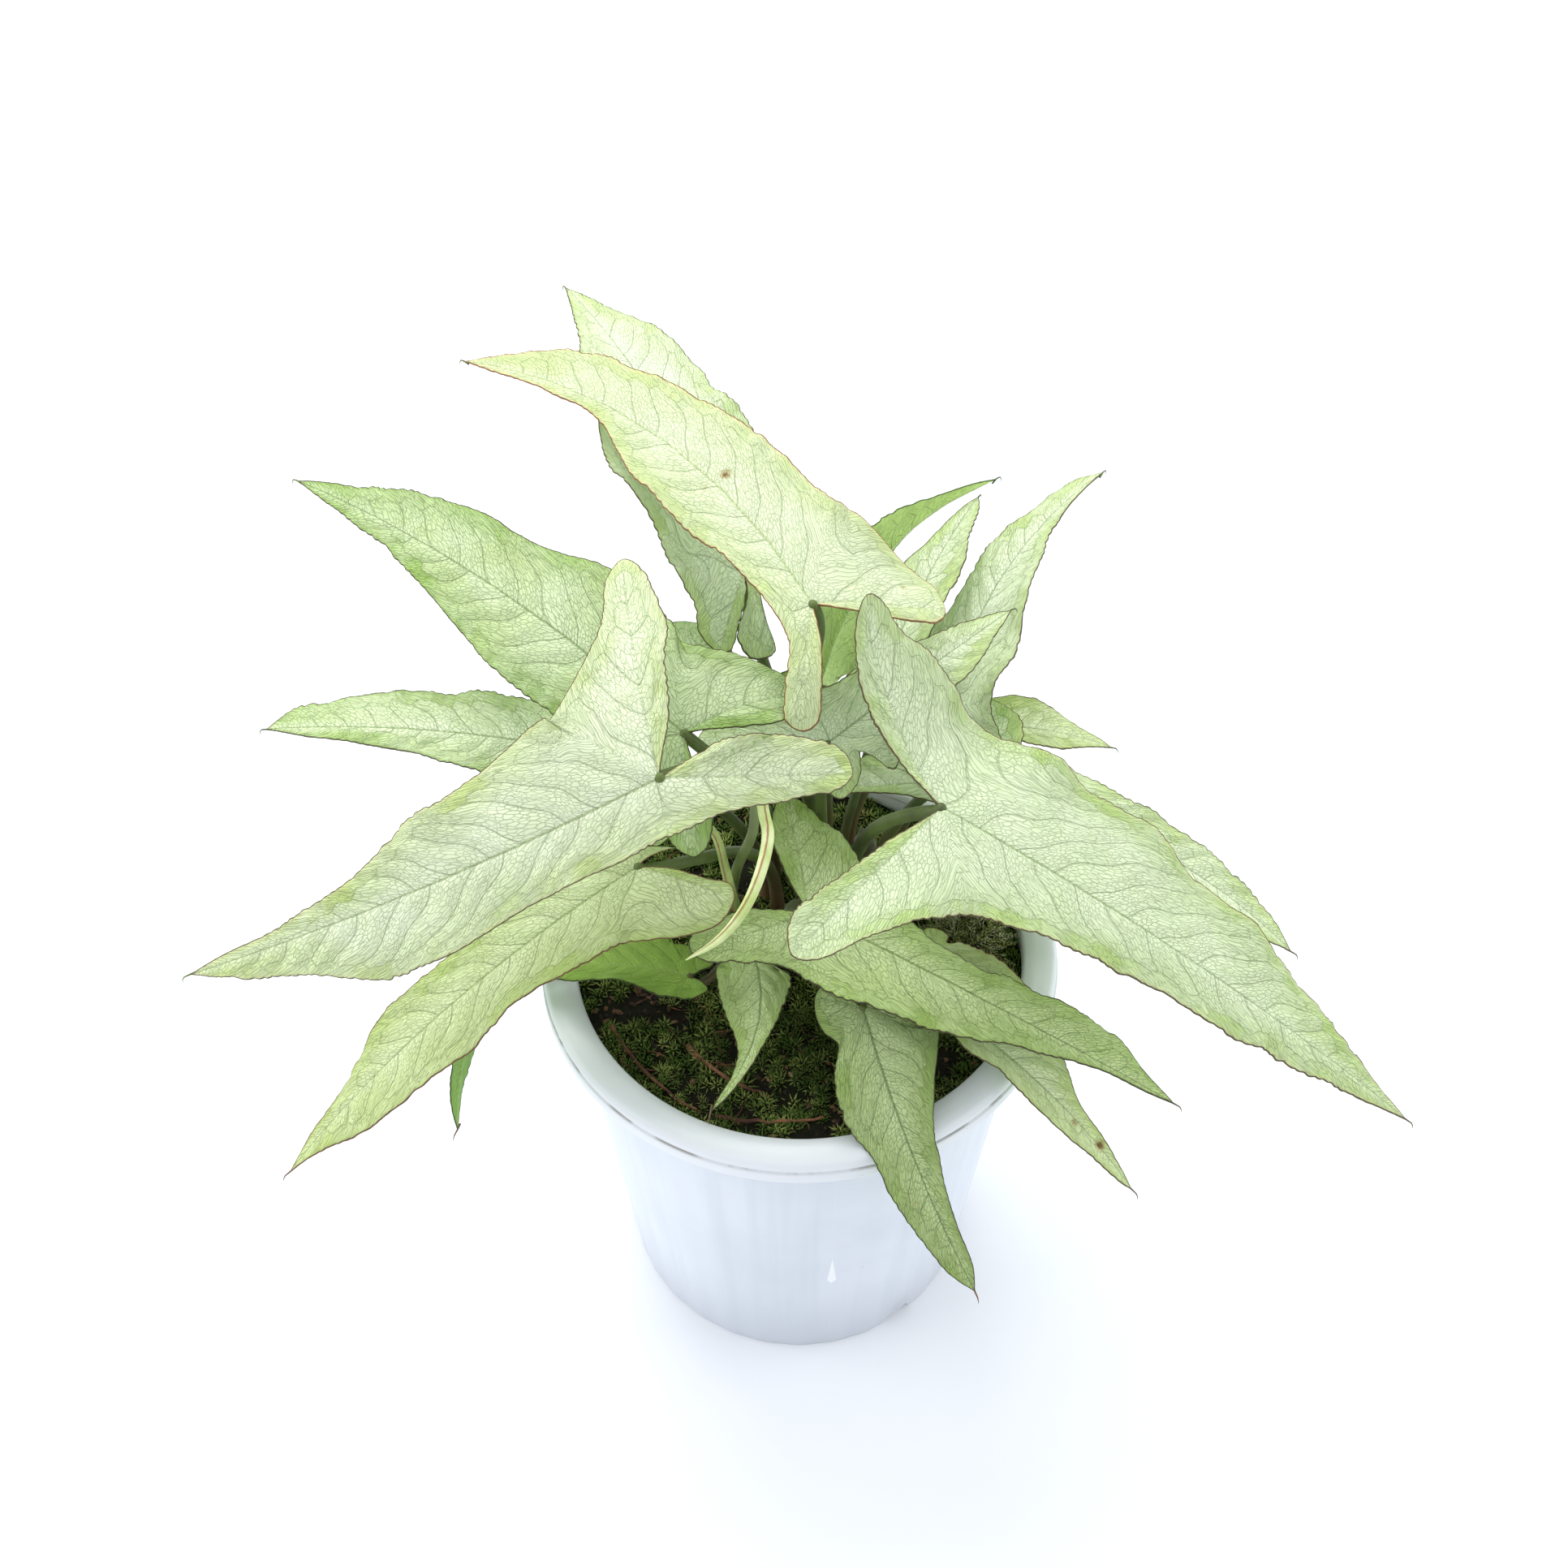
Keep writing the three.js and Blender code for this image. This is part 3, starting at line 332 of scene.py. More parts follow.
# ---------------------------------------------------------------- leaf finishes
def leaf_pattern_group():
    """Veins, net, margin and specks of a blade, as masks in the blade's own coordinates."""
    labels = ("Net", "Side Veins", "Midrib", "Halo", "Margin", "Rim", "Fresh", "Patches", "Middle", "Specks",
              "Height")
    graph, given, out = node_group("leaf_pattern", "ShaderNodeTree",
                                   {"Net Cells": 7.5, "Side Vein": 0.03, "Margin Width": 0.34}, labels)
    flat, unrolled = graph.layer("flat"), graph.layer("veins")
    edge, rib, branch, along = (graph.attribute(name) for name in ("edge", "rib", "branch", "along"))

    # the net: fine cells inside coarse ones, in coordinates that follow the side veins
    wander = graph.vector("SUBTRACT", graph.noise(flat, 22.0, 2.0, output="Color"), (0.5, 0.5, 0.5))
    cells = graph.vector("ADD", graph.combined(X=branch, Y=graph.times(rib, 0.115)),
                         graph.vector("SCALE", wander, scale=0.20))
    fine = graph.band(graph.edges(cells, given["Net Cells"]), 0.02, 0.10, 1.0, 0.0)
    coarse = graph.edges(cells, graph.times(given["Net Cells"], 0.36))
    coarse = graph.band(coarse, 0.008, 0.042, 0.5, 0.0)
    faded = graph.band(graph.noise(flat, 16.0, 2.0), 0.3, 0.62, 0.6, 1.0)
    net = graph.most(coarse, graph.times(fine, faded))

    # side veins up to a vein that runs along the margin, and the midrib with its pale halo
    gap = graph.math("ABSOLUTE", graph.minus(graph.math("FRACT", branch), 0.5))
    loop = graph.minus(0.5, gap)
    ragged = graph.times(graph.noise(flat, 30.0, 2.0), 1.6)
    line = graph.plus(graph.minus(3.6, graph.times(loop, 3.0)), ragged)
    beyond = graph.minus(edge, line)
    submarginal = graph.band(graph.math("ABSOLUTE", beyond), 0.05, 0.24, 1.0, 0.0)
    side = graph.band(gap, graph.minus(0.5, given["Side Vein"]), 0.495)
    side = graph.times(side, graph.band(beyond, -0.2, 0.5))
    side = graph.most(side, graph.times(submarginal, 0.6))
    side = graph.times(side, graph.band(along, 0.84, 0.98, 1.0, 0.2))
    main = graph.band(along, -0.02, 0.03, 0.3, 1.0)
    width = graph.band(along, 0.0, 1.0, 0.55, 0.2)
    midrib = graph.times(graph.band(rib, graph.times(width, 0.35), width, 1.0, 0.0), main)
    halo = graph.times(graph.band(rib, 0.4, 2.4, 1.0, 0.0), main)

    # the dark margin line, the pale rim inside it and the fresher green outside the veins
    torn = graph.plus(0.45, graph.times(graph.noise(flat, 75.0), 1.1))
    rim_line = graph.times(given["Margin Width"], torn)
    margin = graph.band(edge, graph.times(rim_line, 0.6), rim_line, 1.0, 0.0)
    rim = graph.band(edge, 0.35, graph.plus(0.55, ragged), 1.0, 0.0)
    patches = graph.noise(flat, 7.0, 4.0)
    runs = graph.noise(graph.vector("MULTIPLY", unrolled, (5.0, 1.5, 1.0)), 1.0)
    outside = graph.times(graph.band(beyond, -0.6, 0.9, 1.0, 0.0), graph.band(runs, 0.42, 0.66, 0.08, 0.9))
    near_edge = graph.times(graph.band(edge, 0.0, 11.0, 0.85, 0.0), graph.band(patches, 0.42, 0.66))
    fresh = graph.most(graph.most(outside, near_edge), graph.band(along, 0.62, 1.0, 0.0, 0.8))
    middle = graph.times(graph.band(edge, 3.0, 13.0), graph.band(along, 0.35, 0.9, 1.0, 0.3))
    specks = graph.dots(flat, 17.0, 0.055, 0.30)
    height = graph.minus(graph.times(loop, 0.6), graph.times(net, 0.3))
    height = graph.minus(height, graph.times(side, 0.5))
    values = (net, side, midrib, halo, margin, rim, fresh, patches, middle, specks, height)
    for label, value in zip(labels, values):
        graph.feed(out.inputs[label], value)
    return graph.tree


LEAF_PATTERN = leaf_pattern_group()
BACK_VEIN, SCORCH, SCORCH_CORE, SPECK = "bcd88e", "a08a4c", "7a5530", "8c7644"


def leaf_finish(name, colours, net_depth=0.5, rim=None, back="93bf5c"):
    """Finish of a blade; colours are its base, pale, fresh, vein and margin colour."""
    base, pale, fresh, vein, margin = colours.split()
    graph = finish(name, Specular_IOR_Level=0.3)
    mask = graph.node("ShaderNodeGroup", node_tree=LEAF_PATTERN).outputs

    def share(label, amount):
        return graph.times(mask[label], amount)

    top = graph.coats(
        graph.mix(graph.band(mask["Patches"], 0.36, 0.66), base, pale),
        (share("Middle", 0.55), pale), (share("Fresh", 0.85), fresh), (share("Halo", 0.45), pale),
        (share("Rim", 0.4), rim or fresh), (share("Net", net_depth * 0.82), vein),
        (share("Side Veins", 0.27), vein), (share("Midrib", 0.62), vein))
    lines = graph.most(graph.most(mask["Side Veins"], mask["Midrib"]), share("Net", 0.5))
    under = graph.coats(graph.mix(share("Patches", 0.6), back, base), (graph.times(lines, 0.6), BACK_VEIN))
    scar = graph.plus(graph.attribute("blemish"), graph.times(graph.noise(graph.layer("flat"), 70.0), 1.6))
    look = graph.coats(
        graph.mix(graph.attribute("under"), top, under),
        (graph.band(scar, 1.2, 2.6, 0.75, 0.0), SCORCH), (graph.band(scar, 0.9, 1.6, 0.9, 0.0), SCORCH_CORE),
        (share("Specks", 0.7), SPECK), (share("Margin", 0.9), margin))
    graph.feed(graph.shader.inputs["Roughness"], graph.band(mask["Patches"], 0.3, 0.7, 0.48, 0.62))
    return painted(graph, look, mask["Height"], 0.8, 0.0010)


LEAF_TONES = {
    "young": ("d0deaa dce7c2 c4d786 aabc7a 8a4a36", 0.40, "ece29c"),
    "silver": ("d4e3b1 e5efcd b9cf70 8ea468 584034", 0.45, "dfe0a0"),
    "mid_silver": ("c2d3a2 d4e1bc a7c466 839b62 584034", 0.48, "d3d592"),
    "pale_silver": ("dcebbc ecf6d8 bcd57a 94ab70 584034", 0.45),
    "mature": ("b8cd8c d0dfb3 90b450 6f8c49 4a382b", 0.5),
    "pale_mature": ("d2e3ae e6f1cc a2c166 829a58 4a382b", 0.48),
    "sage": ("c8d797 d7e2b3 b0c768 8a9d58 74463a", 0.45),
    "shaded": ("a3b977 bccd95 8ca752 57703c 45342a", 0.55),
    "mid_shaded": ("c2d88e dae9b0 a4c260 6a8640 45342a", 0.55),
    "green": ("8db850 9dc35e 80ab42 a9c972 3f4a26", 0.35),
    # Leaf 10's own green painted lighter on its top and its underside: painted light standing in for light
    # shining through the blade.
    "painted_backlight_green": ("bad97c c6e28a aace6a d0e8a0 4f6230", 0.3, None, "c4e484"),
    "deep_green": ("92b44e a0c05c 82a63e a8c46e 3f4a26", 0.35),
    "yellowing": ("c6d492 dbe5b4 cfd36c 889e58 5a422e", 0.5),
    "pale_yellowing": ("d8e8a8 e6f2c6 c4da7c 9ab06e 5a422e", 0.45),
}
LEAF_FINISHES = {tone: leaf_finish(f"leaf_{tone}", *row) for tone, row in LEAF_TONES.items()}
SLOTS = {tone: f"leaf_{tone}" for tone in ("young", "silver", "mature", "shaded", "green", "yellowing")}
SLOTS["sage"] = "leaf_mature"


# ---------------------------------------------------------------- mesh making
def new_piece(name, points, faces, material, slot):
    """A smooth mesh piece in metres from millimetre points."""
    mesh = bpy.data.meshes.new(name)
    mesh.from_pydata((np.asarray(points, dtype=float) * MM).tolist(), [], faces)
    mesh.polygons.foreach_set("use_smooth", [True] * len(mesh.polygons))
    mesh.materials.append(material)
    piece = bpy.data.objects.new(name, mesh)
    bpy.context.collection.objects.link(piece)
    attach(piece, "root")
    return piece


def set_values(mesh, name, domain, values):
    mesh.attributes.new(name, "FLOAT", domain).data.foreach_set("value", np.asarray(values, np.float32))


def waver(positions, period, seed):
    """Smooth random wave between -1 and 1 along a line, of about the given period."""
    knots = np.random.default_rng(seed).uniform(-1, 1, int(np.max(positions) / period) + 4)
    cell = np.clip(positions / period, 0, len(knots) - 2.001)
    low = cell.astype(int)
    part = cell - low
    part = part * part * (3 - 2 * part)
    return knots[low] * (1 - part) + knots[low + 1] * part


def unit(vector):
    return vector / np.linalg.norm(vector)


# ---------------------------------------------------------------- leaf blade
def leaf_frame(leaf):
    heading, pitch, roll = (math.radians(angle) for angle in leaf["aim"])
    level_run = math.cos(pitch)
    along = np.array([level_run * math.cos(heading), level_run * math.sin(heading), math.sin(pitch)])
    level = np.array([-math.sin(heading), math.cos(heading), 0.0])
    upright = np.cross(along, level)
    across = level * math.cos(roll) + upright * math.sin(roll)
    up = upright * math.cos(roll) - level * math.sin(roll)
    return np.array(leaf["at"], dtype=float), along, across, up


def midrib_offset(leaf, x):
    s = np.clip(x / leaf["length"], 0, 1)
    return 4 * leaf["sweep"] * s * (1 - s)


def blade_height(leaf, x, y):
    """Arched midrib, folded halves, bent lobes and a rippled margin."""
    length = leaf["length"]
    s = x / length
    offset = y - midrib_offset(leaf, x)
    height = np.where(s > 0, 4 * leaf["arch"] * s * (1 - s), 2 * leaf["arch"] * s)
    half = np.where(offset >= 0, 0, 1)
    height = height + np.abs(offset) * np.take(leaf["fold"], half) * 0.01
    lobes = np.array(leaf["lobes"], dtype=float)[half]
    reach2 = lobes[..., 0] ** 2 + lobes[..., 1] ** 2
    t = np.clip((x * lobes[..., 0] + y * lobes[..., 1]) / reach2, 0, 1.15)
    height = height + lobes[..., 2] * t * t
    reach = np.minimum(np.abs(offset) / (0.16 * length), 1.3)
    phase = TURN * x / RIPPLE_LENGTH + length + 2 * half
    return height + RIPPLE * reach * reach * np.sin(phase)


def spline_point(a, b, c, d, f):
    """Centripetal Catmull-Rom point between b and c."""
    knots = [0.0]
    for p, q in ((a, b), (b, c), (c, d)):
        knots.append(knots[-1] + math.sqrt(max(np.linalg.norm(q - p), 1e-9)))
    t = knots[1] + (knots[2] - knots[1]) * f

    def mixed(p, q, i, j):
        return p + (q - p) * (t - knots[i]) / (knots[j] - knots[i])

    ab, bc, cd = mixed(a, b, 0, 1), mixed(b, c, 1, 2), mixed(c, d, 2, 3)
    return mixed(mixed(ab, bc, 0, 2), mixed(bc, cd, 1, 3), 1, 2)


def half_stations(leaf, side):
    """Margin points of one half, their points on the rib, how far down it those are, lean of the veins."""
    sign = 1 if side == 0 else -1
    length = leaf["length"]
    lobe = np.array(leaf["lobes"][side][:2], dtype=float)
    reach = np.linalg.norm(lobe)
    axis = lobe / reach
    outward = np.array([abs(axis[1]), -axis[0] * np.sign(axis[1])])
    tip = np.array([length, 0.0])
    rows = [(tip, tip, length, 1.0)]
    for share, width in zip(STATIONS, leaf["halves"][side]):
        middle = np.array([share * length, midrib_offset(leaf, share * length)])
        rows.append((middle + np.array([0.0, sign * width]), middle, share * length, 1.0))
    lobe_rows = [*zip(LOBE_STATIONS, leaf["lobe_out"][side]), (1.0, 0.0)]
    lobe_rows += [(t, -w) for t, w in zip(LOBE_STATIONS[::-1], leaf["lobe_in"][side][::-1])] + [(0.0, 0.0)]
    for t, width in lobe_rows:
        rows.append((axis * t * reach + outward * width, axis * t * reach, -t * reach, -1.0))
    return zip(*rows)


def row_counts(leaf):
    """Rows in each span of the two halves; rows that meet on the midrib or a lobe's axis share points."""
    margins = [np.array(next(half_stations(leaf, side))) for side in (0, 1)]
    spans = np.array([np.linalg.norm(np.diff(margin, axis=0), axis=1) for margin in margins])
    counts = np.maximum(MIN_ROWS, np.round(spans / ROW_STEP)).astype(int)
    shoulder = len(STATIONS)
    counts[:, :shoulder] = counts[:, :shoulder].max(axis=0)
    lobe = counts[:, shoulder + 1:-1]
    counts[:, shoulder + 1:-1] = np.maximum(lobe, lobe[:, ::-1])
    counts[:, -1] = max(counts[:, -1].max(), math.ceil(counts[:, shoulder].max() / 2))
    counts[:, shoulder] = 2 * counts[:, -1]
    return counts


def half_outline(leaf, side):
    """Rows of one half, from the tip round the basal lobe to the stalk."""
    margin, rib, descent, lean = half_stations(leaf, side)
    guide = [2 * margin[0] - margin[1], *margin, 2 * margin[-1] - margin[-2]]
    rows = []
    for i, count in enumerate(row_counts(leaf)[side]):
        for k in range(count):
            f = k / count
            edge = spline_point(*guide[i:i + 4], f)
            start, end = (1 - f, f)
            if i == len(STATIONS):
                start, end = max(1 - 2 * f, 0), max(2 * f - 1, 0)
            root = rib[i] * start + rib[i + 1] * end
            down = descent[i] * start + descent[i + 1] * end
            tilt = lean[i] + (lean[i + 1] - lean[i]) * f
            rows.append((edge, root, down, tilt))
    rows.append((np.zeros(2), np.zeros(2), 0.0, -1.0))
    return [np.array(column, dtype=float) for column in zip(*rows)]


def toothed(edge, root, seed):
    """The margin with small irregular scallops, still at its tip and at the stalk."""
    run = np.concatenate([[0.0], np.cumsum(np.linalg.norm(np.diff(edge, axis=0), axis=1))])
    width = np.linalg.norm(edge - root, axis=1)
    away = (edge - root) / np.maximum(width, 1e-6)[:, None]
    calm = np.clip(width / 5, 0, 1)
    scallop = np.abs(np.sin(math.pi * run / TOOTH_LENGTH + 2.2 * waver(run, 6.0, seed + 3))) - 0.65
    strength = TOOTH * (0.55 + 0.45 * waver(run, 14.0, seed + 4))
    push = strength * (scallop + 0.5 * waver(run, 1.9, seed) + 1.6 * waver(run, 9.0, seed + 2))
    return edge + away * (push * calm)[:, None]


COLUMN_SHARES = np.linspace(0, 1, 9)[1:-1]      # of the way from the rib's columns to the margin's
OTHER_HALF = 1000           # keeps the vein coordinates of the two halves apart
NO_SPOT = 99.0              # distance to a brown spot where there is none
LAYER_SCALE = 0.01
LAYER_SHIFT = 0.037         # gives each leaf its own part of the patterns


def blade_columns(width):
    """Distances from the rib at which a row of the given width has its points."""
    near = np.stack([0 * width, np.minimum(0.45, 0.08 * width), np.minimum(1.1, 0.17 * width)], axis=1)
    far = np.maximum(width - 0.7, 0.86 * width)
    middle = near[:, 2:] + (far[:, None] - near[:, 2:]) * COLUMN_SHARES
    return np.concatenate([near, middle, far[:, None], width[:, None]], axis=1)


def blade_half(leaf, side, seed):
    """Points and values of one half of a blade, upper and under side."""
    edge, root, descent, lean = half_outline(leaf, side)
    side_seed = seed + 10 * side
    edge = toothed(edge, root, side_seed)
    width = np.linalg.norm(edge - root, axis=1)
    distance = blade_columns(width)
    share = distance / np.maximum(width, 1e-6)[:, None]
    flat = root[:, None, :] + (edge - root)[:, None, :] * share[..., None]
    x, y = flat[..., 0], flat[..., 1]
    length = leaf["length"]
    spacing = 4.0 + 0.045 * length
    bend = distance * (0.85 + 0.35 * share + 0.45 * share * share)
    branch = (descent[:, None] - lean[:, None] * bend) / spacing + 0.5 * side
    branch = branch + 0.16 * np.sin(x * 0.31 + seed) * np.sin(y * 0.27 + 2 * seed)
    inward = width[:, None] - distance
    lobe_reach = max(np.hypot(*leaf["lobes"][side][:2]), 1)
    along = np.where(descent > 0, descent / length, descent / lobe_reach)[:, None]
    settle = np.clip(distance / 3, 0, 1) * np.clip(inward / 3, 0, 1)
    height = blade_height(leaf, x, y) + QUILT * settle * (np.abs(np.sin(math.pi * branch)) - 0.55)
    run = np.concatenate([[0.0], np.cumsum(np.linalg.norm(np.diff(edge, axis=0), axis=1))])
    flutter = 0.75 * waver(run, 7.0, side_seed + 5) + 0.45 * waver(run, 3.2, side_seed + 6)
    height = height + flutter[:, None] * share ** 3 * np.clip(width / 8, 0, 1)[:, None]
    stout = 1 - np.abs(along)
    body = np.clip((1 - share) * np.maximum(width / 2, 1)[:, None], 0, 1)
    ends = np.clip(stout * np.where(descent > 0, length, lobe_reach)[:, None] / 3, 0, 1)
    half = MARGIN_HALF + (BLADE_HALF - MARGIN_HALF) * body * ends
    groove = 0.4 * (0.3 + 0.7 * stout) * np.exp(-((distance / 0.6) ** 2))
    keel = (0.15 + 0.85 * stout) * np.exp(-((distance / 0.8) ** 2))
    origin, forward, across, up = leaf_frame(leaf)
    base = origin + x[..., None] * forward + y[..., None] * across
    upper = base + (height + half - groove)[..., None] * up
    under = base + (height - half - keel)[..., None] * up
    values = {"edge": inward, "rib": distance, "branch": branch, "x": x, "y": y,
              "along": np.broadcast_to(along, x.shape),
              "down": np.broadcast_to(descent[:, None] + OTHER_HALF * side, x.shape)}
    return upper, under, values


def blade_shell(leaf, seed):
    """Points, faces, under-side flags and point values of a whole blade, its two halves side by side."""
    points, faces, below, values = [], [], [], {}
    total = 0
    for side in (0, 1):
        upper, under, given = blade_half(leaf, side, seed)
        rows, columns = upper.shape[:2]
        grid = np.arange(rows * columns).reshape(rows, columns)
        for face, layer in ((0, upper), (1, under)):
            points.append(layer.reshape(-1, 3))
            for key, value in given.items():
                values.setdefault(key, []).append(value.reshape(-1))
            corners = [grid[:-1, :-1], grid[1:, :-1], grid[1:, 1:], grid[:-1, 1:]]
            cells = np.stack(corners, axis=-1).reshape(-1, 4)
            if (face == 0) == (side == 0):
                cells = cells[:, ::-1]
            faces.extend((cells + total + face * rows * columns).tolist())
            below.extend([face] * len(cells))
        top_rim = grid[:, -1] + total
        low_rim = top_rim + rows * columns
        for i in range(rows - 1):
            strip = [int(v) for v in (top_rim[i], low_rim[i], low_rim[i + 1], top_rim[i + 1])]
            faces.append(strip if side == 0 else strip[::-1])
            below.append(0)
        total += 2 * rows * columns
    return np.concatenate(points), faces, below, {key: np.concatenate(parts) for key, parts in values.items()}


def blade(name, leaf, seed):
    """The fine blade, with its halves welded along the midrib and its pattern coordinates."""
    points, faces, below, values = blade_shell(leaf, seed)
    _, first, merged = np.unique(np.round(points, 3), axis=0, return_index=True, return_inverse=True)
    merged = merged.reshape(-1)
    rings, corners, under = [], [], []
    for face, flag in zip(faces, below):
        ring = {int(merged[v]): v for v in face}
        if len(ring) > 2:
            rings.append(list(ring))
            corners.extend(ring.values())
            under.extend([flag] * len(ring))
    look = LEAF_FINISHES[LOOKS.get(name, leaf["tone"])]
    piece = new_piece(f"{name}_blade_fine", points[first], rings, look, SLOTS[leaf["tone"]])
    mesh = piece.data
    at_corner = {key: value[corners] for key, value in values.items()}
    for key in ("edge", "rib", "branch", "along"):
        set_values(mesh, key, "CORNER", at_corner[key])
    set_values(mesh, "under", "CORNER", under)
    spots = np.full(len(corners), NO_SPOT)
    for spot_x, spot_y, size in SPOTS.get(name, ()):
        away = np.hypot(at_corner["x"] - spot_x, at_corner["y"] - spot_y) - size
        spots = np.minimum(spots, away + 2)
    set_values(mesh, "blemish", "CORNER", spots)
    for label, (u, v) in {"flat": ("x", "y"), "veins": ("down", "rib")}.items():
        pairs = np.stack([at_corner[u], at_corner[v]], axis=1) * LAYER_SCALE + LAYER_SHIFT * seed
        mesh.uv_layers.new(name=label).data.foreach_set("uv", pairs.reshape(-1).astype(np.float32))
    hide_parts(f"{name}_blade")


for number, (leaf_name, leaf_row) in enumerate(LEAVES.items(), start=1):
    blade(leaf_name, leaf_row, 101 * number)


# ---------------------------------------------------------------- geometry trees
def growth_tree(name, **numbers):
    """A geometry tree from a mesh to a grown mesh, with an input for each of the numbers and the finish."""
    inputs = {"Geometry": GEOMETRY, **{key.replace("_", " "): value for key, value in numbers.items()}}
    return node_group(name, "GeometryNodeTree", {**inputs, "Finish": MATERIAL}, ["Geometry"], GEOMETRY)


def ended(graph, given, out, geometry):
    """Ends a geometry tree: real meshes, smooth, with their material."""
    real = graph.geo("RealizeInstances", Geometry=geometry)
    smooth = graph.geo("SetShadeSmooth", Geometry=real)
    graph.feed(out.inputs["Geometry"], graph.geo("SetMaterial", Geometry=smooth, Material=given["Finish"]))
    return graph.tree


def grown(name, source_mesh, tree, settings):
    """Runs a geometry tree on a mesh and gives back the result as a plain piece."""
    piece = bpy.data.objects.new(name, source_mesh)
    bpy.context.collection.objects.link(piece)
    modifier = piece.modifiers.new("growth", "NODES")
    modifier.node_group = tree
    for item in tree.interface.items_tree:
        if item.in_out == "INPUT" and item.name in settings:
            modifier[item.identifier] = settings[item.name]
    bpy.context.view_layer.update()
    depsgraph = bpy.context.evaluated_depsgraph_get()
    mesh = bpy.data.meshes.new_from_object(piece.evaluated_get(depsgraph))
    piece.modifiers.clear()
    piece.data = mesh
    mesh.name = name
    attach(piece, "root")
    return piece


def plain_mesh(name, points, edges=(), faces=()):
    mesh = bpy.data.meshes.new(name)
    mesh.from_pydata((np.asarray(points, dtype=float) * MM).tolist(), list(edges), list(faces))
    return mesh


def chain(count, start=0):
    """Edges from each of some points to the next."""
    return [(i, i + 1) for i in range(start, start + count - 1)]


def stem_tree():
    """Rows of points with a thickness become round stems."""
    graph, given, out = growth_tree("round_stem", Sides=14)
    thickness = graph.geo("InputNamedAttribute", Name="thickness", data_type="FLOAT")
    line = graph.geo("MeshToCurve", Mesh=given["Geometry"])
    line = graph.geo("SetCurveRadius", Curve=line, Radius=thickness)
    ring = graph.geo("CurvePrimitiveCircle", Resolution=given["Sides"], Radius=1.0)
    sweep = graph.node("GeometryNodeCurveToMesh", Curve=line, Profile_Curve=ring, Fill_Caps=True)
    if "Scale" in sweep.inputs:
        graph.feed(sweep.inputs["Scale"], graph.geo("InputRadius"))
    return ended(graph, given, out, sweep.outputs[0])


def random_value(graph, low, high, seed):
    """A random number, or a random vector between two corners."""
    kind, first, output = ("FLOAT_VECTOR", 0, 0) if isinstance(low, tuple) else ("FLOAT", 2, 1)
    node = graph.node("FunctionNodeRandomValue", data_type=kind)
    for key, value in ((first, low), (first + 1, high), ("Seed", seed)):
        graph.feed(node.inputs[key], value)
    return node.outputs[output]


def instances(graph, points, instance, rotation=None, scale=None):
    return graph.geo("InstanceOnPoints", Points=points, Instance=instance, Rotation=rotation, Scale=scale)


def stored(graph, geometry, name, value):
    return graph.geo("StoreNamedAttribute", Geometry=geometry, Name=name, Value=value, data_type="FLOAT")


def leaflet_ring(graph, leaflet, count, radius, lean, seed):
    """A ring of leaflets that lean outwards by an angle between the two given."""
    ring = graph.geo("MeshCircle", Vertices=count, Radius=radius)
    turn = graph.times(graph.math("DIVIDE", graph.geo("InputIndex"), count), TURN)
    turned = graph.combined(Y=random_value(graph, *lean, seed), Z=turn)
    return instances(graph, ring, leaflet, turned, random_value(graph, 0.7, 1.15, seed))


def pointed_leaflet(graph, given):
    """A three-sided pointed leaflet that knows how far each point is up it."""
    length, width = given["Leaflet Length"], given["Leaflet Width"]
    cone = graph.geo("MeshCone", Vertices=3, Radius_Top=0.0, Radius_Bottom=width, Depth=length)
    height = graph.split(graph.geo("InputPosition"))[2]
    return stored(graph, cone, "tip", graph.math("DIVIDE", height, length))


def strewn(graph, given, shade_seed, kept=None):
    """Random points on the mesh, each with a shade of its own from 0 to 1, and their rotations."""
    source = graph.node("GeometryNodeDistributePointsOnFaces", Mesh=given["Geometry"],
                        Density=given["Density"], Seed=given["Seed"], Selection=kept).outputs
    points = stored(graph, source["Points"], "shade", random_value(graph, 0.0, 1.0, shade_seed))
    return points, source["Rotation"]


def joined(graph, *parts):
    node = graph.node("GeometryNodeJoinGeometry")
    for part in reversed(parts):
        graph.feed(node.inputs[0], part)
    return node.outputs[0]


def moss_tree():
    """Moss stars over a surface: two rings of pointed leaflets round each point, in patches."""
    graph, given, out = growth_tree(
        "moss_stars", Density=230000.0, Leaflet_Length=0.0026, Leaflet_Width=0.00040, Patch_Scale=75.0,
        Bare_Share=0.43, Seed=3)
    leaflet = pointed_leaflet(graph, given)
    outer = leaflet_ring(graph, leaflet, 8, 0.0003, (0.85, 1.35), 11)
    inner = leaflet_ring(graph, leaflet, 5, 0.0002, (0.15, 0.65), 12)
    star = graph.geo("RealizeInstances", Geometry=joined(graph, outer, inner))
    patches = graph.noise(graph.geo("InputPosition"), given["Patch Scale"], 2.0)
    kept = graph.math("GREATER_THAN", patches, given["Bare Share"])
    points, _ = strewn(graph, given, graph.plus(given["Seed"], 7.0), kept)
    turned = random_value(graph, (-0.35, -0.35, 0.0), (0.35, 0.35, 6.28), 21)
    size = random_value(graph, 0.55, 1.35, 22)
    return ended(graph, given, out, instances(graph, points, star, turned, size))


def crumb_tree():
    """Flattened crumbs of bark and soil over a surface."""
    graph, given, out = growth_tree("soil_crumbs", Density=110000.0, Radius=0.00095, Seed=5)
    ball = graph.geo("MeshIcoSphere", Radius=given["Radius"], Subdivisions=1)
    points, _ = strewn(graph, given, graph.plus(given["Seed"], 7.0))
    turned = random_value(graph, (-0.6, -0.6, 0.0), (0.6, 0.6, 6.28), 31)
    size = random_value(graph, (0.35, 0.3, 0.2), (2.1, 1.1, 0.7), 32)
    return ended(graph, given, out, instances(graph, points, ball, turned, size))


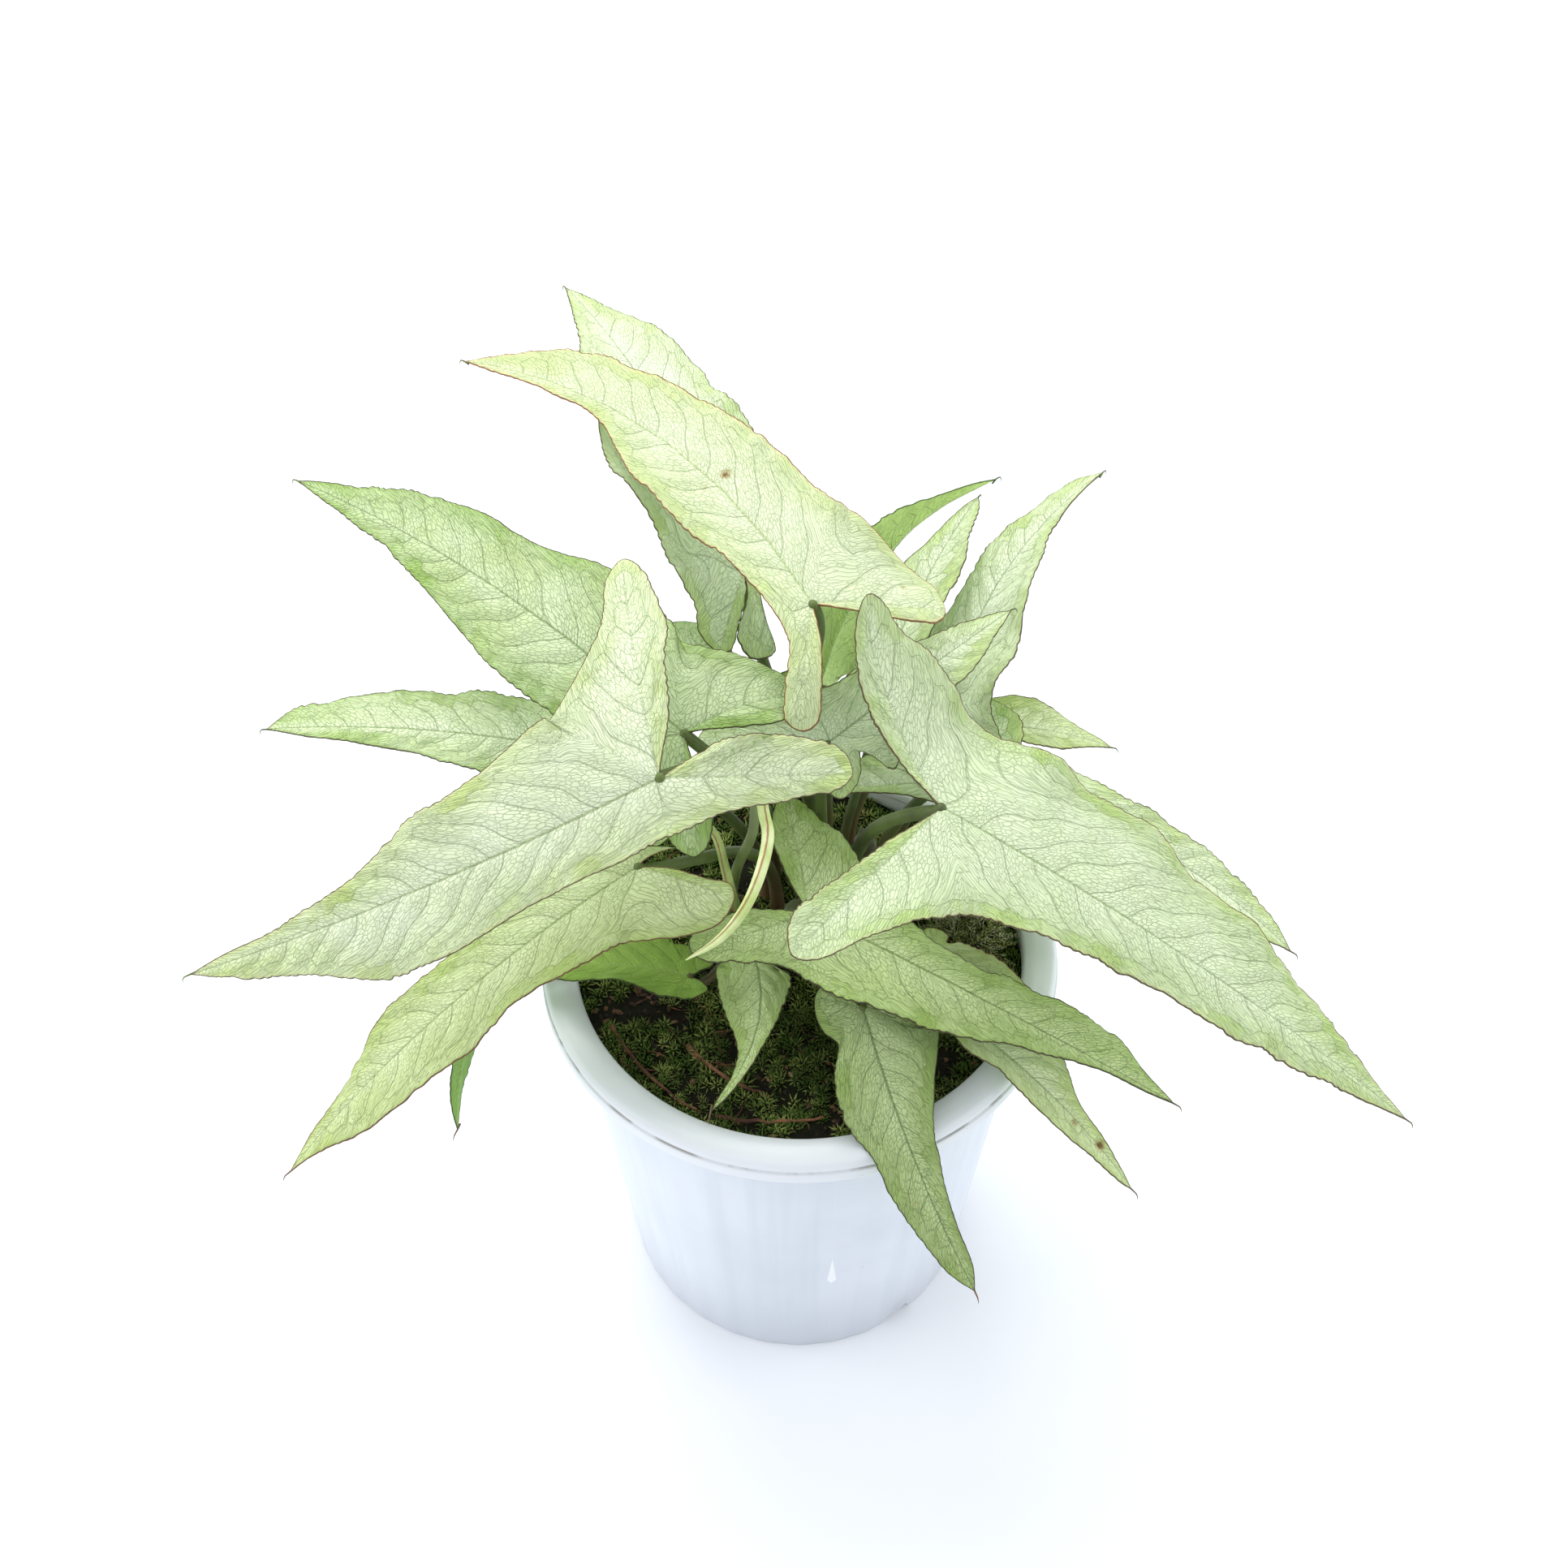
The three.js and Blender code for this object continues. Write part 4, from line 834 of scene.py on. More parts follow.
def feather_tree():
    """Feathery moss shoots that stand out of a cushion; each is a stem of whorled leaflets."""
    graph, given, out = growth_tree(
        "moss_feathers", Density=330000.0, Shoot_Length=0.0078, Leaflet_Length=0.0026, Leaflet_Width=0.00034,
        Whorls=7, Seed=9)
    whorl = leaflet_ring(graph, pointed_leaflet(graph, given), 4, 0.0001, (0.25, 0.7), 41)
    step = graph.math("DIVIDE", given["Shoot Length"], given["Whorls"])
    line = graph.geo("MeshLine", Count=given["Whorls"], Offset=graph.combined(Z=step), mode="OFFSET")
    index = graph.geo("InputIndex")
    size = graph.minus(1.1, graph.times(index, 0.11))
    shoot = instances(graph, line, whorl, graph.combined(Z=graph.times(index, 0.7)), size)
    shoot = graph.geo("RealizeInstances", Geometry=shoot)
    points, upright = strewn(graph, given, 43)
    wild = random_value(graph, (-0.7, -0.7, 0.0), (0.7, 0.7, 6.28), 44)
    spin = graph.first("FunctionNodeRotateRotation", Rotation=upright, Rotate_By=wild, rotation_space="LOCAL")
    shoots = instances(graph, points, shoot, spin, random_value(graph, 0.6, 1.15, 45))
    return ended(graph, given, out, joined(graph, given["Geometry"], shoots))


def pot_tree():
    """A pot turned from a row of profile points, with low flutes, drain notches in its foot and holes."""
    graph, given, out = growth_tree(
        "turned_pot", Profile_Points=60, Segments=300, Flutes=30.0, Flute_Depth=0.00025, Notches=3.0,
        Notch_Height=0.0030, Notch_Turn=math.radians(-53.2), Drain_Holes=6, Drain_Radius=0.004,
        Drain_Ring=0.03)
    profile, rows = given["Geometry"], given["Profile Points"]
    grid = graph.geo("MeshGrid", Vertices_X=graph.plus(given["Segments"], 1.0), Vertices_Y=rows)
    index = graph.geo("InputIndex")
    column = graph.math("FLOOR", graph.math("DIVIDE", graph.plus(index, 0.5), rows))
    row = graph.minus(index, graph.times(column, rows))
    corner = graph.geo("SampleIndex", Geometry=profile, Value=graph.geo("InputPosition"), Index=row,
                       data_type="FLOAT_VECTOR")
    fluted = graph.geo("InputNamedAttribute", Name="fluted", data_type="FLOAT")
    fluted = graph.geo("SampleIndex", Geometry=profile, Value=fluted, Index=row, data_type="FLOAT")
    radius, _, height = graph.split(corner)
    turn = graph.times(graph.math("DIVIDE", column, given["Segments"]), TURN)
    wave = graph.minus(1.0, graph.math("COSINE", graph.times(turn, given["Flutes"])))
    radius = graph.plus(radius, graph.times(wave, 0.5, given["Flute Depth"], fluted))
    beat = graph.math("COSINE", graph.times(graph.minus(turn, given["Notch Turn"]), given["Notches"]))
    notch = graph.times(graph.band(beat, 0.955, 0.985), given["Notch Height"])
    low, outer = graph.band(height, 0.002, 0.006, 1.0, 0.0), graph.band(radius, 0.046, 0.048)
    place = graph.combined(X=graph.times(radius, graph.math("COSINE", turn)),
                           Y=graph.times(radius, graph.math("SINE", turn)),
                           Z=graph.plus(height, graph.times(notch, graph.times(low, outer))))
    body = graph.geo("SetPosition", Geometry=grid, Position=place)
    body = graph.geo("MergeByDistance", Geometry=body, Distance=0.00001)
    ring = graph.geo("MeshCircle", Vertices=given["Drain Holes"], Radius=given["Drain Ring"])
    drill = graph.geo("MeshCylinder", Vertices=24, Radius=given["Drain Radius"], Depth=0.02)
    drills = graph.geo("RealizeInstances", Geometry=instances(graph, ring, drill))
    cut = graph.geo("MeshBoolean", Mesh_1=body, Mesh_2=drills, operation="DIFFERENCE", solver="EXACT")
    return ended(graph, given, out, graph.geo("MergeByDistance", Geometry=cut, Distance=0.000003))


STEM_TREE = stem_tree()


# ---------------------------------------------------------------- stalks, twigs and rolled leaves
def stems(name, strands, material, sides=14):
    """Round stems in one piece, each a row of millimetre points with their radii."""
    points, radii, edges = [], [], []
    for strand in strands:
        edges += chain(len(strand), len(points))
        points += [point for point, _ in strand]
        radii += [radius for _, radius in strand]
    mesh = plain_mesh(name, points, edges)
    set_values(mesh, "thickness", "POINT", np.array(radii) * MM)
    return grown(name, mesh, STEM_TREE, {"Sides": sides, "Finish": material})


def bezier(a, b, c, d, f):
    g = 1 - f
    return g ** 3 * a + 3 * g * g * f * b + 3 * g * f * f * c + f ** 3 * d


def smooth_path(path, count):
    """Points along a centripetal spline through a path."""
    path = [np.array(p, dtype=float) for p in path]
    guide = [2 * path[0] - path[1], *path, 2 * path[-1] - path[-2]]
    points = []
    for k in range(count + 1):
        u = k / count * (len(path) - 1)
        i = min(int(u), len(path) - 2)
        points.append(spline_point(*guide[i:i + 4], u - i))
    return np.array(points)


def stalk_finish():
    graph = finish("stalk_olive", Roughness=0.5, Sheen_Weight=0.08, Sheen_Roughness=0.4)
    lines = graph.noise(graph.vector("MULTIPLY", graph.place, (900.0, 900.0, 60.0)), 1.0)
    height = graph.split(graph.place)[2]
    look = graph.coats(
        graph.mix(graph.band(graph.noise(graph.place, 35.0), 0.35, 0.65), "465522", "677b36"),
        (graph.times(lines, 0.5), "2e3014"), (graph.band(height, 0.126, 0.160, 0.9, 0.0), "74553f"))
    return painted(graph, look, lines, 0.3, 0.0003)


def rolled_finish(name, pale, green):
    """A leaf rolled on itself: lengthwise veins and the red line of its free margin."""
    graph = finish(name, Roughness=0.48)
    turn = graph.attribute("turn")
    lines = graph.math("SINE", graph.times(turn, 110.0))
    torn = graph.times(graph.noise(graph.place, 420.0, 2.0), 0.05)
    seam = graph.band(turn, graph.plus(0.012, torn), graph.plus(0.03, torn), 1.0, 0.0)
    look = graph.coats(
        graph.mix(graph.band(graph.noise(graph.place, 160.0), 0.35, 0.7), pale, green),
        (graph.band(lines, 0.2, 1.0, 0.0, 0.35), green),
        (graph.band(graph.attribute("along"), 0.35, 0.62, 0.9, 0.0), "5d6b3a"),
        (graph.times(seam, 0.8), "a0553f"))
    return painted(graph, look, lines, 0.25, 0.0002)


STALK_FINISH = stalk_finish()


def leaf_stalk(name, leaf):
    origin, along, _, up = leaf_frame(leaf)
    root = np.array([*leaf["root"], SOIL_TOP])
    under = up * (1 if up @ (root - origin) < 0 else -1)
    arrival = unit(0.8 * under + 0.6 * along)
    top = leaf["stalk"]
    end = origin - under * (0.9 + 0.75 * top)
    foot = np.array([*leaf["root"], STALK_FOOT])
    collar = np.array([*leaf["root"], SOIL_TOP + STALK_RISE])
    distance = np.linalg.norm(end - collar)
    low = collar + np.array([0, 0, leaf["sway"][0] * distance])
    high = end - arrival * leaf["sway"][1] * distance
    shares = np.linspace(0, 1, max(24, round(distance / STALK_STEP)))
    points = [foot, (foot + collar) / 2] + [bezier(collar, low, high, end, f) for f in shares]
    points += [origin + under * 0.2, origin + under * 0.5, origin + under * 0.65]
    k = np.concatenate([[0, 0.05], 0.11 + 0.89 * shares, [1.0] * 3])
    radii = top * (1 + STALK_SWELL * np.exp(-6 * k))
    radii[-3:] *= (0.7, 0.5, 0.15)
    piece = stems(f"{name}_stalk_fine", [list(zip(points, radii))], STALK_FINISH)
    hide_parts(f"{name}_stalk")


for leaf_name, leaf_row in LEAVES.items():
    leaf_stalk(leaf_name, leaf_row)

# Points of a drip tip as ahead of the blade's tip, below it, and radius.
DRIP_TIP = ((-2.0, 0, 0.3), (0, 0, 0.26), (1.1, 0.5, 0.2), (1.7, 1.5, 0.13), (1.8, 2.6, 0.06))


def drip_tips():
    """The thin dark tip that hangs from the point of every blade."""
    strands = []
    for leaf in LEAVES.values():
        origin, along, _, _ = leaf_frame(leaf)
        tip = origin + along * leaf["length"]
        level = unit(np.array([along[0], along[1], 0.0]))
        strands.append([])
        for ahead, drop, radius in DRIP_TIP:
            run = along * ahead if ahead <= 0 else along * 0.3 + level * ahead
            strands[-1].append((tip + run - np.array([0, 0, drop]), radius))
    stems("leaf_drip_tips", strands, STALK_FINISH, 6)


drip_tips()


def tube_faces(rings, sides):
    """Faces of a capped tube between rings of points."""
    faces = []
    for k in range(rings - 1):
        for i in range(sides):
            j = (i + 1) % sides
            faces.append((k * sides + i, k * sides + j, (k + 1) * sides + j, (k + 1) * sides + i))
    faces.append(tuple(range(sides - 1, -1, -1)))
    faces.append(tuple((rings - 1) * sides + i for i in range(sides)))
    return faces


ROLL_RINGS = 70
ROLL_SIDES = 26
ROLL_OVERLAP = 0.22         # share of the radius that the spiral loses over its turn


def rolled(name, path, radii, material, slot, flatten=1.0, twist=0.0, start_turn=0.0):
    """A sheet rolled along a path; each cross-section is one turn of a spiral with a step at its margin."""
    line = smooth_path(path, ROLL_RINGS)
    widths = np.interp(np.linspace(0, len(radii) - 1, ROLL_RINGS + 1), range(len(radii)), radii)
    ahead = np.gradient(line, axis=0)
    ahead = ahead / np.linalg.norm(ahead, axis=1)[:, None]
    across = np.array([1.0, 0.0, 0.0])
    points, turns, alongs = [], [], []
    for k in range(ROLL_RINGS + 1):
        across = unit(across - ahead[k] * (across @ ahead[k]))
        other = np.cross(ahead[k], across)
        for i in range(ROLL_SIDES):
            share = i / (ROLL_SIDES - 1)
            angle = TURN * (share + start_turn + twist * k / ROLL_RINGS)
            radius = widths[k] * (1 + ROLL_OVERLAP * (0.5 - share))
            points.append(line[k] + radius * (across * math.cos(angle) + other * math.sin(angle) * flatten))
            turns.append(share)
            alongs.append(k / ROLL_RINGS)
    piece = new_piece(name, points, tube_faces(ROLL_RINGS + 1, ROLL_SIDES), material, slot)
    set_values(piece.data, "turn", "POINT", turns)
    set_values(piece.data, "along", "POINT", alongs)
    return piece


# Path, radii, twist, start of the turn and colours of each rolled leaf.
ROLLED_LEAVES = {
    "rolled_leaf_a": (
        ((-18, 11, STALK_FOOT), (-18, 11, 128), (-18, 8, 147), (-16, 1, 168), (-12, -4, 188), (-11, -3, 201),
         (-10, -6, 206), (-9, -13, 206), (-8, -19, 205), (-10, -28, 201), (-14, -36, 197), (-20, -41, 192),
         (-28, -44, 188)),
        (1.8, 1.7, 1.5, 1.4, 1.3, 1.3, 1.35, 1.5, 1.55, 1.45, 1.3, 1.05, 0.15), 0.35, 0.04,
        "e6efb4", "c3d682"),
    "rolled_leaf_b": (
        ((-12, 3, STALK_FOOT), (-12, 3, 127.5), (-13, 1, 140), (-17, -3, 156), (-19, -4, 170), (-22, 0, 182),
         (-26, 2, 186), (-30, 6, 189)),
        (1.7, 1.7, 1.5, 1.4, 1.3, 1.1, 0.8, 0.12), 0.2, 0.6, "c0d084", "93a957"),
}
for name, (path, radii, twist, start_turn, *colours) in ROLLED_LEAVES.items():
    piece = rolled(f"{name}_fine", path, radii, rolled_finish(f"{name}_skin", *colours), "leaf_young",
                   twist=twist, start_turn=start_turn)
    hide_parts(name)


def scale_finish():
    graph = finish("scale_leaf_felt", Roughness=0.75, Sheen_Weight=0.6, Sheen_Roughness=0.5)
    felt = grain(graph, 1500.0, 120.0)
    edge = graph.band(graph.attribute("turn"), 0.02, 0.10, 1.0, 0.0)
    look = graph.coats(graph.mix(felt["Clouds"], "6b7352", "86805f"),
                       (graph.times(felt["Grain"], 0.4), "9a9a7c"), (graph.times(edge, 0.6), "b5ac98"))
    return painted(graph, look, felt["Height"], 0.4, 0.0003)


SCALE_PATH = ((19, 34, STALK_FOOT), (19, 34, 121), (19, 34, 128), (18.3, 32, 139), (17, 28, 150))
SCALE_RADII = (1.6, 1.7, 2.2, 3.3, 2.6, 0.2)
scale = rolled("scale_leaf_fine", SCALE_PATH, SCALE_RADII, scale_finish(), "sheath", flatten=0.6,
               start_turn=0.5)
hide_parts("scale_leaf")


def bark_finish():
    graph = finish("twig_bark", Roughness=0.8)
    bark = grain(graph, 900.0, 150.0)
    look = graph.coats(graph.mix(bark["Clouds"], "5c3829", "a56f50"),
                       (graph.times(bark["Grain"], 0.5), "2f1d15"))
    return painted(graph, look, bark["Height"], 0.7, 0.0004)


BARK_FINISH = bark_finish()


def soil_height(x, y):
    bumps = np.sin(x * 0.21 + 1.3) * np.cos(y * 0.19) + 0.5 * np.sin(x * 0.43 - y * 0.37 + 0.6)
    return SOIL_TOP + SOIL_RELIEF * bumps


# Points of each twig as x, y and how far it is raised off the soil.
TWIGS = {
    "twig_a": ((-50, -22, 0.2), (-44, -32, 0), (-36, -42, 0.1), (-27, -48, 0)),
    "twig_b": ((-22, -50, 0), (-8, -52, 0.4), (6, -50, 0)),
    "twig_c": ((-30, -28, 0), (-20, -38, 0.5), (-8, -44, 0)),
}
TWIG_R = 0.8
TWIG_SPANS = 40
for number, (name, path) in enumerate(TWIGS.items()):
    steps = np.arange(TWIG_SPANS + 1.0)
    line = smooth_path([(x, y, soil_height(x, y) + TWIG_R + 0.6 + lift) for x, y, lift in path], TWIG_SPANS)
    line = line + 0.35 * np.stack([waver(steps, 4.0, 60 + 3 * number + axis) for axis in range(3)], axis=1)
    knots = 1 + 0.22 * waver(steps, 2.5, 80 + number)
    thick = np.linspace(0.85, 0.4, TWIG_SPANS + 1) * TWIG_R * knots
    piece = stems(f"{name}_fine", [list(zip(line, thick))], BARK_FINISH, 9)
    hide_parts(name)


# ---------------------------------------------------------------- soil, moss and litter
CRUST_R = 60.3
CRUST_LIFT = 0.45
CRUST_DEPTH = 2.5           # of its underside below the soil's top
CRUST_SIDES = 200
CRUST_RINGS = 63
CLOD = 0.9                  # rise and fall of the clods


def crust_height(x, y):
    """Height of the crumbly surface over the soil, calm at the wall."""
    spots = list(zip(x, y))
    rough = np.array([noise.turbulence(Vector((px * 0.13, py * 0.13, 3.1)), 3, False) for px, py in spots])
    fine = np.array([noise.noise(Vector((px * 0.55, py * 0.55, 8.0))) for px, py in spots])
    calm = np.clip((CRUST_R - np.hypot(x, y)) / 6, 0, 1)
    return soil_height(x, y) + CRUST_LIFT + calm * (CLOD * (rough - 0.35) + 0.5 * fine)


def crust_mesh(closed):
    """A disc of soil surface in rings; closed adds its skirt and underside."""
    sides, rings = CRUST_SIDES, CRUST_RINGS
    radii = np.linspace(0, CRUST_R, rings + 1)[1:]
    angles = np.arange(sides) * 2 * math.pi / sides
    x = (radii[:, None] * np.cos(angles)).reshape(-1)
    y = (radii[:, None] * np.sin(angles)).reshape(-1)
    points = np.concatenate([[[0, 0, 0]], np.stack([x, y, 0 * x], axis=1)])
    points[:, 2] = crust_height(points[:, 0], points[:, 1])
    faces = [(0, 1 + i, 1 + (i + 1) % sides) for i in range(sides)]
    for k in range(rings - 1):
        a, b = 1 + k * sides, 1 + (k + 1) * sides
        faces.extend((a + i, b + i, b + (i + 1) % sides, a + (i + 1) % sides) for i in range(sides))
    if closed:
        bottom = SOIL_TOP - CRUST_DEPTH
        last, skirt = 1 + (rings - 1) * sides, len(points)
        low = np.stack([x[-sides:], y[-sides:], np.full(sides, bottom)], axis=1)
        points = np.concatenate([points, low, [[0, 0, bottom]]])
        centre = len(points) - 1
        for i in range(sides):
            j = (i + 1) % sides
            faces.append((last + i, skirt + i, skirt + j, last + j))
            faces.append((skirt + j, skirt + i, centre))
    return points, faces


def soil_finish():
    graph = finish("soil_damp", Roughness=0.85, Specular_IOR_Level=0.25)
    dirt = grain(graph, 520.0, 70.0)
    look = graph.coats(graph.mix(dirt["Grain"], "090705", "261c13"),
                       (graph.times(dirt["Clouds"], 0.7), "1c230c"))
    return painted(graph, look, dirt["Height"], 0.9, 0.0012)


def litter_finish():
    graph = finish("litter_brown", Roughness=0.85)
    dirt = grain(graph, 900.0, 60.0)
    shade = graph.attribute("shade")
    look = graph.coats(graph.mix(graph.band(shade, 0.35, 1.0), "22170f", "94694c"),
                       (graph.band(shade, 0.9, 1.0, 0.0, 0.8), "c9a583"),
                       (graph.times(dirt["Grain"], 0.5), "17100b"))
    return painted(graph, look, dirt["Height"], 0.6, 0.0005)


def moss_finish(name, dark, mid, light):
    graph = finish(name, Roughness=0.65, Specular_IOR_Level=0.3)
    cloud = grain(graph, 600.0, 60.0)
    tip = graph.attribute("tip")
    bright = graph.times(graph.band(graph.attribute("shade"), 0.45, 1.0), graph.band(tip, 0.1, 0.8), 0.85)
    look = graph.coats(graph.mix(graph.band(tip, 0.0, 0.9), dark, mid),
                       (bright, light), (graph.times(cloud["Clouds"], 0.35), dark))
    return painted(graph, look, cloud["Grain"], 0.2, 0.0002)


def refinish(name, material):
    """Gives a carried-over node its own material."""
    node = next(o for o in bpy.data.objects if o.name == name or o.get("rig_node") == name)
    for entry in node.material_slots:
        entry.material = material


SOIL_FINISH = soil_finish()
refinish("soil", SOIL_FINISH)
new_piece("soil_crust", *crust_mesh(True), SOIL_FINISH, "soil")
top_points, top_faces = crust_mesh(False)
for name, tree, look, slot in (
    ("soil_crumbs", crumb_tree(), litter_finish(), "bark"),
    ("soil_moss", moss_tree(), moss_finish("soil_moss", "0e1505", "64852f", "cfd97c"), "moss"),
):
    grown(name, plain_mesh(name, top_points, (), top_faces), tree, {"Finish": look})

STRAWS = 54
STRAW_STEP = 1.25
STRAW_SPREAD = 58           # radius of the ground on which the straws start
STRAW_LIMIT = 59            # and the radius at which they break off


def straws():
    """Loose straws and root bits that lie on the soil."""
    rng = np.random.default_rng(17)
    strands = []
    for _ in range(STRAWS):
        reach, turn = STRAW_SPREAD * math.sqrt(rng.uniform(0.05, 1)), rng.uniform(0, TURN)
        heading, bend = rng.uniform(0, TURN), rng.uniform(-0.12, 0.12)
        x, y = reach * math.cos(turn), reach * math.sin(turn)
        thick = rng.uniform(0.14, 0.42)
        strands.append([])
        for k in range(int(rng.uniform(6, 15))):
            if np.hypot(x, y) > STRAW_LIMIT:
                break
            z = crust_height(np.array([x]), np.array([y]))[0] + 0.7 * thick + 0.35
            strands[-1].append(((x, y, z), thick * (1 - 0.04 * k)))
            heading += bend + rng.uniform(-0.18, 0.18)
            x, y = x + STRAW_STEP * math.cos(heading), y + STRAW_STEP * math.sin(heading)
    stems("soil_straws", strands, BARK_FINISH, 6)


straws()

TUFT_AT = (46, 5)
TUFT_R = 9.0
TUFT_HEIGHT = 8.0
TUFT_RISE = 1.5             # of its underside over the soil's top
TUFT_SIDES = 24
# Shares of its radius and of its height, from the underside up.
TUFT_PROFILE = ((0.02, 0), (0.75, 0), (0.9, 0.25), (0.72, 0.6), (0.4, 0.8), (0.02, 0.86))


def tuft_cushion():
    """The lumpy core that the feathery shoots stand on, closed underneath."""
    points = []
    for k, (share, rise) in enumerate(TUFT_PROFILE):
        for i in range(TUFT_SIDES):
            angle = 2 * math.pi * i / TUFT_SIDES
            radius = TUFT_R * share * (1 + 0.09 * math.sin(3 * angle + k) + 0.05 * math.sin(7 * angle))
            points.append((TUFT_AT[0] + radius * math.cos(angle), TUFT_AT[1] + radius * math.sin(angle),
                           SOIL_TOP + TUFT_RISE + rise * TUFT_HEIGHT))
    return plain_mesh("moss_tuft_fine", points, (), tube_faces(len(TUFT_PROFILE), TUFT_SIDES))


TUFT_MOSS = moss_finish("tuft_moss", "42451f", "dcdf92", "fffde4")
tuft = grown("moss_tuft_fine", tuft_cushion(), feather_tree(), {"Finish": TUFT_MOSS})
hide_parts("moss_tuft")


# ---------------------------------------------------------------- pot
POT_SLOPE = 13.2 / 127
POT_FLOOR = 3
POT_WALL = 2
POT_FOOT_R = 49.8
# The lip's colour is the pot's white painted lighter: painted light where the light falls on the lip's top.
POT_WHITE, POT_BRIGHT, POT_SHADE, POT_LIP_LIGHT = "d2d9e2", "dce2e9", "c7d0dc", "e2e6ea"
# The foot's colour is painted shade: the wall darkens towards the floor, where shade falls.
POT_FOOT_SHADE, POT_GRIT, POT_DIRT, POT_DROP = "c6cbd3", "6e675c", "7d766c", "fbfcfd"
DROP_AT = (0.0093, 0.0456)      # x and foot of the pale run on the wall
DROP_HEIGHT = 0.0168


def body_radius(z):
    return POT_FOOT_R + POT_SLOPE * z


def rounded(corners, radius, steps=5):
    """A row of corners [r, z] with each corner turned into a small arc of its own radius."""
    row = []
    for k, (r, z, *given) in enumerate(corners):
        point = np.array([r, z], dtype=float)
        bend = given[0] if given else radius
        if k in (0, len(corners) - 1) or bend == 0:
            row.append(point)
            continue
        back, ahead = (np.array(corners[j][:2], dtype=float) - point for j in (k - 1, k + 1))
        cut = min(bend, 0.45 * np.linalg.norm(back), 0.45 * np.linalg.norm(ahead))
        first, last = point + unit(back) * cut, point + unit(ahead) * cut
        for i in range(steps + 1):
            f = i / steps
            row.append((1 - f) ** 2 * first + 2 * f * (1 - f) * point + f * f * last)
    return np.array(row)


def pot_profile():
    """Profile of the pot from the middle of its underside, up outside, over the lip and down inside."""
    outside = [(0, 0), (44.5, 0, 0.8), (45.5, 0.5, 0.5), (47.4, 0.5, 0.5), (48.2, 0, 0.8)]
    outside += [(POT_FOOT_R, 0, 1.2)] + [(body_radius(z), z, 0) for z in (3, 6, 20, 40, 60, 80, 100, 115)]
    outside += [(body_radius(124), 124, 1.0), (68.6, 126, 1.0), (70.0, 127.2, 0.8), (70.0, 130.7, 0.4),
                (69.3, 131.2, 0.3), (69.6, 132.6, 1.2), (68.6, 134.3, 1.6), (66.4, 135, 1.5),
                (63.2, 135, 1.6), (60.6, 133.8, 1.6), (60.2, 131.6, 1.6)]
    inside = [(body_radius(z) - POT_WALL, z, bend) for z, bend in
              ((123, 2.0), (100, 0), (60, 0), (20, 0), (POT_FLOOR, 1.0))]
    return rounded(outside + inside + [(0, POT_FLOOR)], 1.0)


def pot_finish():
    """Faintly marbled white plastic with grit, a dirty groove under the lip and a pale run, with painted
    light on the lip and painted shade towards the foot.
    """
    graph = finish("pot_white_plastic", Roughness=0.34, Specular_IOR_Level=0.5)
    place = graph.place
    clouds = graph.noise(place, 22.0, 4.0)
    x, y, height = graph.split(place)
    around = graph.combined(X=graph.times(graph.math("ARCTAN2", y, x), 6.0), Y=graph.times(height, 3.0))
    runs = graph.noise(around, 1.5, 2.0)
    where = graph.band(graph.noise(place, 26.0, 2.0), 0.50, 0.60)
    grit = graph.times(graph.dots(place, 170.0, 0.11, 0.5), where, 0.8)
    groove = graph.band(graph.math("ABSOLUTE", graph.minus(height, 0.1312)), 0.0001, 0.0005, 1.0, 0.0)
    dirt = graph.times(groove, graph.band(graph.noise(place, 90.0, 4.0), 0.45, 0.62, 0.12, 0.75))
    rise = graph.math("DIVIDE", graph.minus(height, DROP_AT[1]), DROP_HEIGHT)
    wide = graph.times(graph.math("SUBTRACT", 1.0, rise, clamp=True), graph.band(rise, -0.02, 0.16))
    wide = graph.plus(graph.times(wide, 0.0017), 0.00001)
    away = graph.math("ABSOLUTE", graph.minus(x, DROP_AT[0]))
    drop = graph.band(graph.math("DIVIDE", away, wide), 0.7, 1.0, 0.85, 0.0)
    look = graph.coats(
        graph.mix(graph.band(clouds, 0.3, 0.7), POT_WHITE, POT_BRIGHT),
        (graph.times(graph.band(runs, 0.45, 0.68), 0.32), POT_SHADE),
        # Painted light: the whole lip is painted lighter than the body. Painted shade: the wall darkens
        # towards the foot.
        (graph.band(height, 0.1255, 0.1275), POT_LIP_LIGHT), (graph.band(height, 0.0, 0.045, 0.75, 0.0), POT_FOOT_SHADE),
        (grit, POT_GRIT), (dirt, POT_DIRT), (graph.times(drop, graph.math("LESS_THAN", y, 0.0)), POT_DROP))
    graph.feed(graph.shader.inputs["Roughness"], graph.band(clouds, 0.3, 0.7, 0.28, 0.42))
    return painted(graph, look, graph.plus(clouds, graph.times(runs, 0.8)), 0.12, 0.0006)


def fine_pot():
    profile = pot_profile()
    points = np.stack([profile[:, 0], 0 * profile[:, 0], profile[:, 1]], axis=1)
    mesh = plain_mesh("pot_fine", points, chain(len(points)))
    outside = np.arange(len(points)) < np.argmax(profile[:, 1])
    fluted = outside & (profile[:, 0] > 49.0) & (profile[:, 1] < 124.5)
    set_values(mesh, "fluted", "POINT", fluted)
    settings = {"Profile Points": len(points), "Finish": pot_finish()}
    piece = grown("pot_fine", mesh, pot_tree(), settings)
    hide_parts("pot")


fine_pot()


